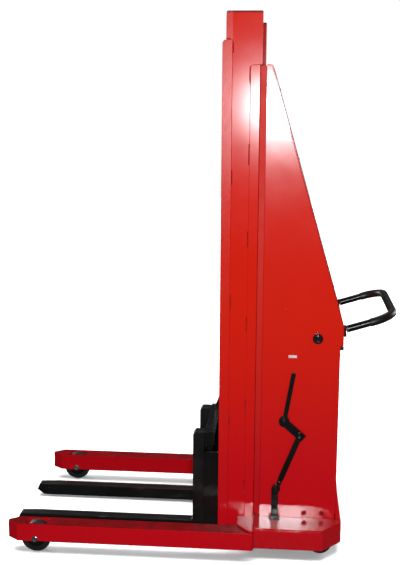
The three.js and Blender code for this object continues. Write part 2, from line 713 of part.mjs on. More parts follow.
// ---------------------------------------------------------------- push handle
class HandleCurve extends THREE.Curve {
  // Runs up one arm, round a bend, across the grip bar and back down the other arm.
  constructor(from, to) {
    super();
    this.from = from;
    this.to = to;
    this.arm = (HANDLE.endX - HANDLE.rootX) * Math.hypot(1, HANDLE.slope) - HANDLE.bend;
    this.quarter = HANDLE.bend * Math.PI / 2;
    this.bar = 2 * (HANDLE.y - HANDLE.bend);
    this.total = 2 * this.arm + 2 * this.quarter + this.bar;
  }

  getPoint(t, target = new THREE.Vector3()) {
    const distance = (this.from + (this.to - this.from) * t) * this.total;
    const mirroredHalf = distance > this.total / 2;
    const d = mirroredHalf ? this.total - distance : distance;
    let along = d;
    let side = HANDLE.y;
    if (d > this.arm + this.quarter) {
      along = this.arm + HANDLE.bend;
      side = HANDLE.y - HANDLE.bend - (d - this.arm - this.quarter);
    } else if (d > this.arm) {
      const angle = (d - this.arm) / HANDLE.bend;
      along = this.arm + HANDLE.bend * Math.sin(angle);
      side = HANDLE.y - HANDLE.bend * (1 - Math.cos(angle));
    }
    const scale = 1 / Math.hypot(1, HANDLE.slope);
    const y = mirroredHalf ? side : -side;
    return target.set(HANDLE.rootX + along * scale, y, HANDLE.rootZ + along * scale * HANDLE.slope);
  }
}

function roundSection(radius, facets = 12) {
  const points = [];
  for (let i = 0; i < facets; i++) {
    const angle = 2 * Math.PI * i / facets;
    points.push([radius * Math.cos(angle), radius * Math.sin(angle)]);
  }
  return shapeOf(points);
}

function addHandle() {
  const curve = new HandleCurve(0, 1);
  const tubeOptions = { steps: 60, bevelEnabled: false, extrudePath: curve };
  add('push_handle', blackPaint, new THREE.ExtrudeGeometry(roundSection(HANDLE.tube), tubeOptions));

  const gripStart = (curve.arm - 12) / curve.total;
  const gripCurve = new HandleCurve(gripStart, 1 - gripStart);
  const section = roundSection(GRIP.radius);
  section.holes = [circleHole(0, 0, HANDLE.tube + GRIP.clearance, 12)];
  const gripOptions = { ...tubeOptions, steps: 48, extrudePath: gripCurve };
  add('handle_grip', rubber, new THREE.ExtrudeGeometry(section, gripOptions));

  for (const [side, s] of SIDES) {
    const bracket = block(
      COVER.upperRear + GAP,
      HANDLE.rootX - HANDLE.tube * HANDLE.slope - 0.5,
      s * (BRACKET.y - BRACKET.halfWidth),
      s * (BRACKET.y + BRACKET.halfWidth),
      BRACKET.bottom,
      BRACKET.top,
    );
    add(`handle_bracket_${side}`, blackPaint, bracket);
  }
}

// ---------------------------------------------------------------- floor lock and control knob
function barBetween(a, b, width, y0, y1, over = 0) {
  const [dx, dz] = [b[0] - a[0], b[1] - a[1]];
  const length = Math.hypot(dx, dz);
  const [ux, uz] = [dx / length, dz / length];
  const half = width / 2;
  return sidePlate(shapeOf([
    [a[0] - uz * half, a[1] + ux * half],
    [a[0] + uz * half, a[1] - ux * half],
    [b[0] + ux * over + uz * half, b[1] + uz * over - ux * half],
    [b[0] + ux * over - uz * half, b[1] + uz * over + ux * half],
  ]), y0, y1);
}

function pinAt([x, z], radius, y0, y1) {
  return rod(radius, y0, y1, 'y').translate(x, 0, z);
}

function addFloorLock() {
  const hub = [LOCK.hubX, LOCK.hubZ];
  const crank = [LOCK.crankX, LOCK.crankZ];
  const foot = [LOCK.footX, LOCK.footZ];
  const { panel, inner, middle, outer } = LOCK_Y;

  const bracket = join(
    pinAt(hub, 20, inner + GAP, panel),
    pinAt(hub, 8, middle - 6, panel - 2),
    pinAt(hub, 12, middle - 7, middle - GAP),
  );
  add('lock_pivot', blackPaint, bracket);

  const lever = cut(
    join(
      barBetween(hub, [LEVER_TOP.x, LEVER_TOP.z], 16, middle, inner),
      barBetween(hub, crank, 30, middle, inner, 20),
      pinAt(hub, 18, middle, inner),
    ),
    pinAt(hub, 8.4, middle - 1, inner + 1),
    pinAt(crank, 6.4, middle - 1, inner + 1),
  );
  add('lock_lever', blackPaint, lever);

  const nutAt = (share, radius) => {
    const x = crank[0] + (foot[0] - crank[0]) * share;
    const z = crank[1] + (foot[1] - crank[1]) * share;
    const turn = Math.atan2(foot[0] - crank[0], foot[1] - crank[1]);
    return rod(radius, -5, 5, 'z', 6).rotateY(turn).translate(x, (middle + outer) / 2 - GAP, z);
  };
  const link = join(
    barBetween(crank, foot, 20, outer - GAP, middle - GAP, -46),
    barBetween(crank, foot, 11, outer + 1, middle - 2),
    pinAt(crank, 12, outer - GAP, middle - GAP),
    pinAt(foot, 13, outer - GAP, middle - GAP),
    pinAt(crank, 6, outer - 4, inner + 2),
    pinAt(foot, 6, outer - 4, inner + 2),
    nutAt(0.81, 10),
    nutAt(0.875, 10),
  );
  add('lock_link', blackPaint, link);

  const padTop = PLUNGER.padBottom + PLUNGER.padHeight;
  const half = PLUNGER.width / 2;
  const plunger = cut(
    join(
      pinAt(foot, 16, middle, inner),
      block(PLUNGER.x - half, PLUNGER.x + half, middle, inner, padTop + GAP, LOCK.footZ),
    ),
    pinAt(foot, 6.4, middle - 1, inner + 1),
  );
  add('lock_plunger', blackPaint, plunger);
  const padY = (middle + inner) / 2;
  const pad = turned([
    [0, PLUNGER.padBottom],
    [PLUNGER.padRadius, PLUNGER.padBottom],
    [PLUNGER.padRadius - 2, padTop],
    [0, padTop],
  ], 'z');
  add('lock_pad', rubber, pad.translate(PLUNGER.x, padY, 0));

  const guideShape = shapeOf(
    [
      [PLUNGER.x - 21, middle - 9],
      [PLUNGER.x + 21, middle - 9],
      [PLUNGER.x + 21, panel - 1],
      [PLUNGER.x - 21, panel - 1],
    ],
    rectHole(PLUNGER.x - half - 4, PLUNGER.x + half + 4, middle - 2, inner + 2),
  );
  add('lock_guide', blackPaint, floorPlate(guideShape, BASE.top + GAP, BASE.top + 16));
}

function addKnob() {
  const knob = turned([
    [0, -KNOB.outer],
    [KNOB.radius - 3, -KNOB.outer],
    [KNOB.radius, -KNOB.outer - 3],
    [KNOB.radius, 268],
    [KNOB.radius - 4, 265],
    [KNOB.shaft, 265],
    [KNOB.shaft, 238],
    [0, 238],
  ], 'y', FINE).scale(1, -1, 1);
  add('control_knob', plastic, knob.translate(KNOB.x, 0, KNOB.z));
}

// ---------------------------------------------------------------- power pack
function addPowerPack() {
  const floor = BASE.top + GAP;
  const terminals = SIDES.map(([, s]) => rod(9, BATTERY.top - 2, BATTERY.top + 16, 'z', 12)
    .translate(BATTERY.terminalX, s * BATTERY.terminalY, 0));
  const cells = block(BATTERY.front, BATTERY.rear, -BATTERY.halfWidth, BATTERY.halfWidth, floor, BATTERY.top);
  add('battery', plastic, join(cells, ...terminals));

  const { front, rear, halfWidth, top, plate, brace } = SHELF;
  const shelf = block(front, rear, -halfWidth, halfWidth, top - plate, top);
  const braces = SIDES.map(([, s]) => (
    block(front, rear, s * (halfWidth - plate), s * halfWidth, top - brace, top - plate + 1)
  ));
  add('equipment_shelf', redPaint, join(shelf, ...braces));

  const motor = rod(PUMP_MOTOR.radius, PUMP_MOTOR.blockTop - 1, PUMP_MOTOR.top, 'z', FINE);
  const port = rod(HOSE.ferrule + 1, PUMP.front - 9, PUMP.front + 7, 'x');
  const unit = join(
    block(PUMP.front, PUMP.tankRear, PUMP.left, PUMP.middle, top + GAP, PUMP.tankTop),
    block(PUMP.front + 5, PUMP_MOTOR.blockRear, PUMP.middle - 1, PUMP.right, top + GAP, PUMP_MOTOR.blockTop),
    port.translate(0, PUMP_MOTOR.y, PUMP_MOTOR.portZ),
    motor.translate(PUMP_MOTOR.x, PUMP_MOTOR.y, 0),
  );
  add('hydraulic_unit', blackPaint, unit);

  const portZ = CYLINDER.bottom + 40;
  const cylinderPort = RAM_X + CYLINDER.radius + 14 + GAP;
  const pumpPort = PUMP.front - 9 - GAP;
  const route = new THREE.CatmullRomCurve3([
    new THREE.Vector3(pumpPort - 8, PUMP_MOTOR.y, PUMP_MOTOR.portZ),
    new THREE.Vector3(HOSE.dropX + 10, PUMP_MOTOR.y, PUMP_MOTOR.portZ - 2),
    new THREE.Vector3(HOSE.dropX, PUMP_MOTOR.y - 2, PUMP_MOTOR.portZ - 25),
    new THREE.Vector3(HOSE.dropX, PUMP_MOTOR.y - 20, PUMP_MOTOR.portZ - 110),
    new THREE.Vector3(HOSE.dropX, PUMP_MOTOR.y / 2, portZ + 90),
    new THREE.Vector3(HOSE.dropX, 20, portZ + 22),
    new THREE.Vector3(HOSE.dropX - 5, 4, portZ + 4),
    new THREE.Vector3(cylinderPort + 5, 0, portZ),
  ]);
  const hose = new THREE.ExtrudeGeometry(roundSection(HOSE.radius, 8), {
    steps: 36,
    bevelEnabled: false,
    extrudePath: route,
  });
  const pumpEnd = rod(HOSE.ferrule, pumpPort - 14, pumpPort, 'x', 12);
  const cylinderEnd = rod(HOSE.ferrule, cylinderPort, cylinderPort + 10, 'x', 12);
  add('hydraulic_hose', rubber, join(
    hose,
    pumpEnd.translate(0, PUMP_MOTOR.y, PUMP_MOTOR.portZ),
    cylinderEnd.translate(0, 0, portZ),
  ));
}

addBase();
addLegs();
addCasters();
addMast();
addRam();
addCarriage();
addCovers();
addHandle();
addFloorLock();
addKnob();
addPowerPack();

// The origin is under the middle of the whole length, from the fork tips to the grip bar.
lift.position.x = -(FORK.tip + HANDLE.endX + GRIP.radius) / 2;

export default lift;
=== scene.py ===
import json
import math

import bmesh
import bpy
from mathutils import Matrix, Vector
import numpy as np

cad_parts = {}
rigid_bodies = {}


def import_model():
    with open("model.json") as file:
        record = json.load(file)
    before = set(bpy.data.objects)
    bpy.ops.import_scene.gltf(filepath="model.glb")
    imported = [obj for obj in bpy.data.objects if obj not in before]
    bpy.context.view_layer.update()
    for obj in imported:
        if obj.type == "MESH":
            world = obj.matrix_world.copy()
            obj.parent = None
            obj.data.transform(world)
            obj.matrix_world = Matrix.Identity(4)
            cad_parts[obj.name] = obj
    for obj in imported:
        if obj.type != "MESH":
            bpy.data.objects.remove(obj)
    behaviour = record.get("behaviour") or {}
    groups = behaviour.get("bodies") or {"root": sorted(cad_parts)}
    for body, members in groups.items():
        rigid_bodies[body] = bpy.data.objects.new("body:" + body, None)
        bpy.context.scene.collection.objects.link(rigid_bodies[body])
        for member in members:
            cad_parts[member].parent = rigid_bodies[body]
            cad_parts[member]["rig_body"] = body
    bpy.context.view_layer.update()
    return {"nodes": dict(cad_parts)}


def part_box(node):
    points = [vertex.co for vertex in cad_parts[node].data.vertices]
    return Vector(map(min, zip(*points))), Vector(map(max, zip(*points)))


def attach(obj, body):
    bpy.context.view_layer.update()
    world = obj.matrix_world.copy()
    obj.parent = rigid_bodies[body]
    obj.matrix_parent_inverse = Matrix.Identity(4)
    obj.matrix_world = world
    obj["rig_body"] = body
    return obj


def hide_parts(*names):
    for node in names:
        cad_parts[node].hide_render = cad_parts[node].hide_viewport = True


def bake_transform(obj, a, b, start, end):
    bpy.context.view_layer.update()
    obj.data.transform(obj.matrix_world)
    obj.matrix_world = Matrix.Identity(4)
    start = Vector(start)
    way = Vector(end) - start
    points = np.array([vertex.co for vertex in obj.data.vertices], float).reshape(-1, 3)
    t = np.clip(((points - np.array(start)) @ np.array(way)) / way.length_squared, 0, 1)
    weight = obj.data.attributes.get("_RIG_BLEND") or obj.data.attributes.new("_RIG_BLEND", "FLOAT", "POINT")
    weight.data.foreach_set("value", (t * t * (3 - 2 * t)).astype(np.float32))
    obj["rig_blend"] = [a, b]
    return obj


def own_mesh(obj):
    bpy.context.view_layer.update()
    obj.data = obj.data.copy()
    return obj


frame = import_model()

SIDES = (("left", -1), ("right", 1))
SQUARE = ((0, 1), (1, 2), (2, 3), (3, 0))        # each corner of a square, and the next one
MAST_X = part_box("mast_side_left")[0].x + 0.001   # X of the CAD's own zero, the mast's front edge
PANEL_Y = -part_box("side_panel_left")[0].y        # outer face of the side panels
DECK_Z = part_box("base_plate")[1].z               # top of the base plate

# Places in CAD millimetres, as at() takes them.
HANDLE_ROOT = (470.3, 252.0, 864.0)              # where an arm of the handle leaves its bracket
HANDLE_SLOPE = 0.3125                            # how far an arm rises for each millimetre to the rear
LOCK_Y = -289.3                                  # middle plane of the floor lock's link
LOCK_HUB = (245, 507)                            # X and Z of the lever's pivot,
LOCK_CRANK = (303, 456)                          # of the pin from lever to link,
LOCK_CLEVIS = (219, 243)                         # and of the pin from link to plunger

RED_UPPER = (0.62, 0.0125, 0.0045)               # the enamel high up
RED_SHADED_LOWER = (0.53, 0.0035, 0.0095)               # and near the floor, darker and bluer: painted shade
SHARP_ANGLE = 38                                 # degrees; steeper edges aren't smoothed


def at(x, y, z):
    """The point that the CAD has at x, y, z millimetres, with x from the mast's front edge."""
    return Vector((MAST_X + x / 1000, y / 1000, z / 1000))


def middle(node):
    """The centre of a CAD node's box."""
    low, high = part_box(node)
    return (low + high) / 2


def heights(node):
    """The bottom and top of a CAD node, in millimetres."""
    low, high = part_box(node)
    return low.z * 1000, high.z * 1000


# ------------------------------------------------------------------ camera
def aim_camera():
    """The camera that was fitted to the photograph."""
    yaw, pitch, roll = -0.08775, 0.17900, 0.00606
    place = (0.31691, -3.83348, 1.67615)
    level = math.cos(pitch)
    forward = Vector((math.sin(yaw) * level, math.cos(yaw) * level, -math.sin(pitch)))
    right = Vector((math.cos(yaw), -math.sin(yaw), 0))
    up = right.cross(forward)
    right, up = (
        right * math.cos(roll) + up * math.sin(roll),
        up * math.cos(roll) - right * math.sin(roll),
    )
    data = bpy.data.cameras.new("camera")
    data.sensor_width = 36
    data.lens = 62.847
    camera = bpy.data.objects.new("camera", data)
    bpy.context.scene.collection.objects.link(camera)
    turn = Matrix((right, up, -forward)).transposed().to_4x4()
    camera.matrix_world = Matrix.Translation(place) @ turn
    bpy.context.scene.camera = camera


# ------------------------------------------------------------------ materials
class Shader:
    """A node material built up one input at a time."""

    def __init__(self, name, metallic=0.0, specular=0.5, coat=0.0, coat_roughness=0.1):
        self.material = bpy.data.materials.new(name)
        self.material.use_nodes = True
        self.tree = self.material.node_tree
        self.bsdf = self.tree.nodes["Principled BSDF"]
        self.bsdf.inputs["Metallic"].default_value = metallic
        self.bsdf.inputs["Specular IOR Level"].default_value = specular
        self.bsdf.inputs["Coat Weight"].default_value = coat
        self.bsdf.inputs["Coat Roughness"].default_value = coat_roughness
        self.place = self.node("ShaderNodeTexCoord").outputs["Object"]
        self.height = None

    def node(self, kind, **settings):
        made = self.tree.nodes.new(kind)
        for key, value in settings.items():
            setattr(made, key, value)
        return made

    def link(self, source, target):
        self.tree.links.new(source, target)

    def noise(self, scale, detail=3.0, roughness=0.55, stretch=None):
        texture = self.node("ShaderNodeTexNoise")
        texture.inputs["Scale"].default_value = scale
        texture.inputs["Detail"].default_value = detail
        texture.inputs["Roughness"].default_value = roughness
        source = self.place
        if stretch:
            mapping = self.node("ShaderNodeMapping")
            mapping.inputs["Scale"].default_value = stretch
            self.link(source, mapping.inputs["Vector"])
            source = mapping.outputs["Vector"]
        self.link(source, texture.inputs["Vector"])
        return texture.outputs["Fac"]

    def remap(self, source, low, high, to_low=0.0, to_high=1.0, smooth=False):
        ramp = self.node("ShaderNodeMapRange", clamp=True)
        ramp.interpolation_type = "SMOOTHSTEP" if smooth else "LINEAR"
        for socket, value in zip(ramp.inputs[1:5], (low, high, to_low, to_high)):
            socket.default_value = value
        self.link(source, ramp.inputs[0])
        return ramp.outputs[0]

    def axis(self, letter, source=None):
        split = self.node("ShaderNodeSeparateXYZ")
        self.link(source or self.place, split.inputs[0])
        return split.outputs[letter]

    def math(self, operation, a, b):
        made = self.node("ShaderNodeMath", operation=operation)
        for socket, value in zip(made.inputs, (a, b)):
            if isinstance(value, (int, float)):
                socket.default_value = value
            else:
                self.link(value, socket)
        return made.outputs[0]

    def mix(self, share, a, b):
        made = self.node("ShaderNodeMix", data_type="RGBA")
        self.link(share, made.inputs[0])
        for socket, value in ((made.inputs[6], a), (made.inputs[7], b)):
            if isinstance(value, tuple):
                socket.default_value = (*value, 1)
            else:
                self.link(value, socket)
        return made.outputs[2]

    def color(self, source):
        self.link(source, self.bsdf.inputs["Base Color"])

    def roughness(self, source):
        self.link(source, self.bsdf.inputs["Roughness"])

    def bump(self, source, distance):
        made = self.node("ShaderNodeBump")
        made.inputs["Strength"].default_value = 1.0
        made.inputs["Distance"].default_value = distance
        self.link(source, made.inputs["Height"])
        if self.height is not None:
            self.link(self.height, made.inputs["Normal"])
        self.height = made.outputs["Normal"]
        self.link(self.height, self.bsdf.inputs["Normal"])


def shade(color, factor):
    return tuple(c * factor for c in color)


def red_paint(name, peel=0.000012, rough=(0.14, 0.165), gloss=0.3, dust=0.0, tint=1.0,
              speckled=False, painted_top_shade=0.0):
    """Gloss red enamel over sheet steel: orange peel, slightly wavy sheet, and painted shade that darkens it
    towards the floor.
    """
    s = Shader(name, specular=gloss)
    upper, lower = shade(RED_UPPER, tint), shade(RED_SHADED_LOWER, tint)
    # Painted shade: the red turns darker and bluer towards the floor.
    base = s.mix(s.remap(s.axis("Z"), 0.08, 0.95, smooth=True), lower, upper)
    cloud = s.remap(s.noise(3.2, 4), 0.35, 0.7)
    base = s.mix(s.math("MULTIPLY", cloud, 0.10), base, shade(upper, 0.72))
    fleck = s.remap(s.noise(420, 2), 0.66, 0.74)
    base = s.mix(s.math("MULTIPLY", fleck, 0.10), base, (0.30, 0.012, 0.008))
    if dust:
        low = s.remap(s.axis("Z"), 0.0, 0.14, 1.0, 0.0)
        darkening = s.math("MULTIPLY", s.math("MULTIPLY", low, s.remap(s.noise(60, 6), 0.45, 0.7)), dust)
        base = s.mix(darkening, base, (0.10, 0.05, 0.045))
    # Painted shade: faces that look up, such as the leg tops, are darkened in blotches, for the light that
    # only grazes them.
    if painted_top_shade:
        normal = s.node("ShaderNodeNewGeometry").outputs["Normal"]
        upward = s.remap(s.axis("Z", normal), 0.7, 0.95)
        blotches = s.remap(s.noise(14, 5, 0.65), 0.32, 0.62, 0.45, 1.0)
        darkening = s.math("MULTIPLY", s.math("MULTIPLY", upward, blotches), painted_top_shade)
        base = s.mix(darkening, base, (0.075, 0.006, 0.007))
    sheen = s.remap(s.noise(9, 4), 0.3, 0.7, *rough)
    # The mast's grit, and its painted shade on the top rim and front edge.
    if speckled:
        base, sheen = mast_grit_and_shade(s, base, sheen, shade(upper, 0.62))
    polish = s.remap(s.axis("Z"), 0.15, 0.5, -0.045, 0.0)
    s.color(base)
    s.roughness(s.math("ADD", sheen, polish))
    s.bump(s.noise(7, 2), 0.00025)
    s.bump(s.noise(380, 2), peel)
    return s.material


def mast_grit_and_shade(s, base, sheen, speck):
    """Grit in the paint of the mast's front strip, and painted shade along the mast's top rim and along its
    front edge above the strip.
    """
    grain = s.noise(150, 3, 0.7)
    strip = s.remap(s.axis("X"), MAST_X + 0.0352, MAST_X + 0.0357, 1.0, 0.0)
    grit = s.math("MULTIPLY", strip, s.remap(grain, 0.50, 0.66))
    base = s.mix(s.math("MULTIPLY", grit, 0.35), base, speck)
    duller = s.math("MULTIPLY", strip, s.remap(grain, 0.4, 0.65, 0.05, 0.16))
    s.bump(s.math("MULTIPLY", strip, grain), 0.00012)
    # Painted shade: a dark band along the top rim, and along the front edge above the strip.
    rim = s.remap(s.axis("Z"), 1.9915, 1.9965)
    front = s.remap(s.axis("X"), MAST_X + 0.0015, MAST_X + 0.0045, 1.0, 0.0)
    head = s.remap(s.axis("Z"), 1.899, 1.901)
    shaded_edges = s.math("MAXIMUM", rim, s.math("MULTIPLY", front, head))
    shaded_edges = s.math("MULTIPLY", shaded_edges, s.remap(s.noise(90, 4), 0.2, 0.5, 0.45, 0.85))
    return s.mix(shaded_edges, base, (0.045, 0.006, 0.005)), s.math("ADD", sheen, duller)


def black_paint(name, wear=0.0, rough=(0.2, 0.32), gloss=0.26):
    """Gloss black enamel on rolled steel, with rubs where the load slides."""
    s = Shader(name, specular=gloss)
    base = s.mix(s.remap(s.noise(7, 4), 0.35, 0.7), (0.0042, 0.0038, 0.0040), (0.0085, 0.0070, 0.0065))
    if wear:
        streak = s.remap(s.noise(30, 6, 0.7, stretch=(0.35, 2.2, 2.0)), 0.60, 0.70)
        patch = s.remap(s.noise(5, 3), 0.48, 0.62)
        rubbed = s.math("MULTIPLY", s.math("MULTIPLY", streak, patch), wear)
        base = s.mix(rubbed, base, (0.16, 0.145, 0.13))
    s.color(base)
    s.roughness(s.remap(s.noise(16, 5), 0.3, 0.7, *rough))
    s.bump(s.noise(45, 4), 0.00012)
    s.bump(s.noise(520, 2), 0.00001)
    return s.material


def rubber(name, light, dark, rough=(0.5, 0.68), grain=0.00005):
    """Dull rubber or moulded plastic."""
    s = Shader(name, specular=0.35)
    s.color(s.mix(s.remap(s.noise(38, 5), 0.35, 0.7), light, dark))
    s.roughness(s.remap(s.noise(20, 4), 0.3, 0.7, *rough))
    s.bump(s.noise(700, 3), grain)
    return s.material


def bare_metal(name, color, rough, stretch=(1, 1, 1), scratch=0.00001):
    s = Shader(name, metallic=1.0)
    s.color(s.mix(s.remap(s.noise(60, 4), 0.3, 0.7), shade(color, 0.8), color))
    s.roughness(s.remap(s.noise(240, 4, stretch=stretch), 0.3, 0.7, *rough))
    s.bump(s.noise(600, 3, stretch=stretch), scratch)
    return s.material


def chain_steel(name):
    """Oiled leaf chain steel, mottled between dark and brighter."""
    s = Shader(name, metallic=0.9)
    s.color(s.mix(s.remap(s.noise(120, 4), 0.35, 0.7), (0.10, 0.09, 0.075), (0.26, 0.25, 0.23)))
    s.roughness(s.remap(s.noise(90, 3), 0.3, 0.7, 0.28, 0.5))
    s.bump(s.noise(500, 2), 0.00003)
    return s.material


def floor_white(name):
    """White background paper."""
    s = Shader(name, specular=0.1)
    s.color(s.mix(s.remap(s.noise(1.5, 3), 0.3, 0.7), (0.93, 0.93, 0.925), (0.955, 0.955, 0.955)))
    s.roughness(s.remap(s.noise(4, 3), 0.3, 0.7, 0.8, 0.9))
    s.bump(s.noise(60, 2), 0.00005)
    return s.material


RED = red_paint("red_enamel")
RED_STRIP = red_paint("red_enamel_mast", peel=0.00002, rough=(0.135, 0.165), gloss=0.155, speckled=True)
RED_BASE = red_paint("red_enamel_base", rough=(0.12, 0.15), gloss=0.6, dust=0.3)
RED_LEG = red_paint("red_enamel_leg", rough=(0.13, 0.18), gloss=0.12, dust=0.08, painted_top_shade=0.7)
RED_INNER = red_paint("red_enamel_inner", peel=0.00004, rough=(0.4, 0.55), gloss=0.12, tint=0.92)
# Painted shade: the weld beads' enamel is darker, for the shade along the seams.
RED_WELD_SHADED = red_paint("red_enamel_weld_shaded", peel=0.00004, rough=(0.3, 0.4), gloss=0.15, tint=0.6)
# Painted shade: the bolt heads' enamel is dark, as they catch little light.
RED_BOLT_SHADED = red_paint("red_enamel_bolt_shaded", peel=0.00004, rough=(0.4, 0.5), gloss=0.1, tint=0.42)
BLACK = black_paint("black_enamel")
BLACK_TUBE = black_paint("black_enamel_tube", rough=(0.16, 0.22), gloss=0.13)
BLACK_WORN = black_paint("black_enamel_worn", wear=0.75, rough=(0.28, 0.45))
GRIP = rubber("grip_rubber", (0.0115, 0.0085, 0.0065), (0.0058, 0.0045, 0.0038), (0.32, 0.46), 0.00002)
TYRE = rubber("tyre_rubber", (0.0085, 0.0080, 0.0080), (0.0040, 0.0038, 0.0038))
HOSE = rubber("hose_rubber", (0.012, 0.012, 0.013), (0.006, 0.006, 0.006), (0.35, 0.5))
PLASTIC = rubber("moulded_plastic", (0.016, 0.016, 0.017), (0.009, 0.009, 0.010), (0.3, 0.42), 0.00002)
KNOB = rubber("knob_plastic", (0.0075, 0.0065, 0.009), (0.0045, 0.0038, 0.0055), (0.16, 0.24), 0.000008)
STEEL = bare_metal("zinc_plate", (0.55, 0.54, 0.50), (0.24, 0.4))
TURNED = bare_metal("turned_steel", (0.50, 0.50, 0.49), (0.2, 0.38), stretch=(1, 9, 1))
CHROME = bare_metal("hard_chrome", (0.80, 0.81, 0.83), (0.06, 0.12), stretch=(1, 1, 6), scratch=0.000002)
ALUMINIUM = bare_metal("brushed_plate", (0.78, 0.72, 0.72), (0.34, 0.48), stretch=(0.2, 1, 8))
CHAIN = chain_steel("chain_steel")


# ------------------------------------------------------------------ mesh building
def fillet(points, radius, steps=3, closed=False):
    """The outline with its corners rounded."""
    result = []
    last = len(points) - 1
    for i, point in enumerate(points):
        if not closed and i in (0, last):
            result.append(tuple(point))
            continue
        before, corner = Vector(points[i - 1]), Vector(point)
        after = Vector(points[(i + 1) % len(points)])
        u, v = before - corner, after - corner
        angle = u.angle(v)
        if angle > math.radians(172):
            result.append(tuple(point))
            continue
        reach = min(radius / math.tan(angle / 2), u.length * 0.45, v.length * 0.45)
        start, end = corner + u.normalized() * reach, corner + v.normalized() * reach
        for k in range(steps + 1):
            t = k / steps
            q = start * (1 - t) ** 2 + corner * 2 * t * (1 - t) + end * t * t
            result.append((q.x, q.y))
    return result


def ring(points, radius):
    """A closed lathe profile: the rounded outline, and its first point again."""
    outline = fillet(points, radius)
    return [*outline, outline[0]]


def turned(profile, segments=48):
    """A lathe solid round Z from (radius, height) points in millimetres.

    A profile that ends on its first point makes a ring, any other is closed at the axis.
    """
    looped = profile[0] == profile[-1]
    points = profile[:-1] if looped else profile
    verts, rings = [], []
    for r, h in points:
        if r < 1e-6:
            rings.append([len(verts)] * segments)
            verts.append((0, 0, h / 1000))
            continue
        rings.append(list(range(len(verts), len(verts) + segments)))
        for k in range(segments):
            a = 2 * math.pi * k / segments
            verts.append((r * math.cos(a) / 1000, r * math.sin(a) / 1000, h / 1000))
    above = rings[1:] + rings[:1] if looped else rings[1:]
    faces = []
    for low, high in zip(rings, above):
        for k in range(segments):
            n = (k + 1) % segments
            corners = list(dict.fromkeys((low[k], low[n], high[n], high[k])))
            if len(corners) > 2:
                faces.append(corners)
    return verts, faces


def prism(outline, z0, z1):
    """An extruded solid along Z, in millimetres."""
    n = len(outline)
    verts = [(x / 1000, y / 1000, z / 1000) for z in (z0, z1) for x, y in outline]
    faces = [list(range(n))[::-1], list(range(n, 2 * n))]
    faces += [[k, (k + 1) % n, n + (k + 1) % n, n + k] for k in range(n)]
    return verts, faces


def slab(low, high):
    """A box between two corners, in metres."""
    (x0, y0, z0), (x1, y1, z1) = low, high
    verts = [(x, y, z) for z in (z0, z1) for x, y in ((x0, y0), (x1, y0), (x1, y1), (x0, y1))]
    return verts, [[3, 2, 1, 0], [4, 5, 6, 7], [0, 1, 5, 4], [1, 2, 6, 5], [2, 3, 7, 6], [3, 0, 4, 7]]


def rectangle_ring(outer, inner, z0, z1):
    """A flat rectangular ring; its corners are in CAD millimetres."""
    verts, faces = [], []
    for z in (z0, z1):
        for (x0, y0), (x1, y1) in (outer, inner):
            verts += [at(x, y, z) for x, y in ((x0, y0), (x1, y0), (x1, y1), (x0, y1))]
    for k, n in SQUARE:
        faces += [
            [k, n, 8 + n, 8 + k], [4 + n, 4 + k, 12 + k, 12 + n],
            [8 + k, 8 + n, 12 + n, 12 + k], [n, k, 4 + k, 4 + n],
        ]
    return verts, faces


def tube(path, radii, segments=16):
    """A round bar along a path in metres; radii is one radius or one for each point, in millimetres."""
    path = [Vector(p) for p in path]
    if not hasattr(radii, "__len__"):
        radii = [radii] * len(path)
    last = len(path) - 1
    tangents = [(path[min(i + 1, last)] - path[max(i - 1, 0)]).normalized() for i in range(last + 1)]
    side = tangents[0].orthogonal().normalized()
    verts, faces = [], []
    for i, (point, tangent) in enumerate(zip(path, tangents)):
        side = (side - tangent * side.dot(tangent)).normalized()
        other = tangent.cross(side)
        for k in range(segments):
            a = 2 * math.pi * k / segments
            verts.append(point + (side * math.cos(a) + other * math.sin(a)) * radii[i] / 1000)
        if i:
            base = (i - 1) * segments
            for k in range(segments):
                n = (k + 1) % segments
                faces.append([base + k, base + n, base + segments + n, base + segments + k])
    end = len(verts) - segments
    faces += [list(range(segments))[::-1], list(range(end, end + segments))]
    return verts, faces


def moved(shape, place, direction=(0, 0, 1), spin=0.0):
    """The shape with its Z axis turned along direction and its origin at place."""
    verts, faces = shape
    turn = Vector(direction).to_track_quat("Z", "Y").to_matrix().to_4x4()
    matrix = Matrix.Translation(place) @ (turn @ Matrix.Rotation(spin, 4, "Z"))
    return [matrix @ Vector(v) for v in verts], faces


def piece(name, shapes, material, body, replaces=(), bevel=0.0, sharp=SHARP_ANGLE):
    """One visible object made of closed shapes, riding on a CAD body."""
    bm = bmesh.new()
    for verts, faces in shapes:
        made = [bm.verts.new(v) for v in verts]
        for face in faces:
            bm.faces.new([made[i] for i in face])
    bmesh.ops.recalc_face_normals(bm, faces=bm.faces)
    return finish_piece(bm, name, material, body, replaces, bevel, sharp)


def finish_piece(bm, name, material, body, replaces, bevel, sharp=SHARP_ANGLE, segments=2):
    """Turn a bmesh into a shaded object on its body; bevel is the edge radius in millimetres."""
    mesh = bpy.data.meshes.new(name)
    bm.to_mesh(mesh)
    bm.free()
    for layer in [a.name for a in mesh.attributes if a.name in ("custom_normal", "sharp_face")]:
        mesh.attributes.remove(mesh.attributes[layer])
    mesh.materials.clear()
    mesh.materials.append(material)
    for polygon in mesh.polygons:
        polygon.use_smooth = True
        polygon.material_index = 0
    mesh.set_sharp_from_angle(angle=math.radians(sharp))
    made = bpy.data.objects.new(name, mesh)
    bpy.context.scene.collection.objects.link(made)
    if bevel:
        edge = made.modifiers.new("edge_radius", "BEVEL")
        edge.width = bevel / 1000
        edge.segments = segments
        edge.limit_method = "ANGLE"
        edge.angle_limit = math.radians(30)
        edge.use_clamp_overlap = False
        edge.harden_normals = True
    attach(made, body)
    if replaces:
        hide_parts(*replaces)
    return made


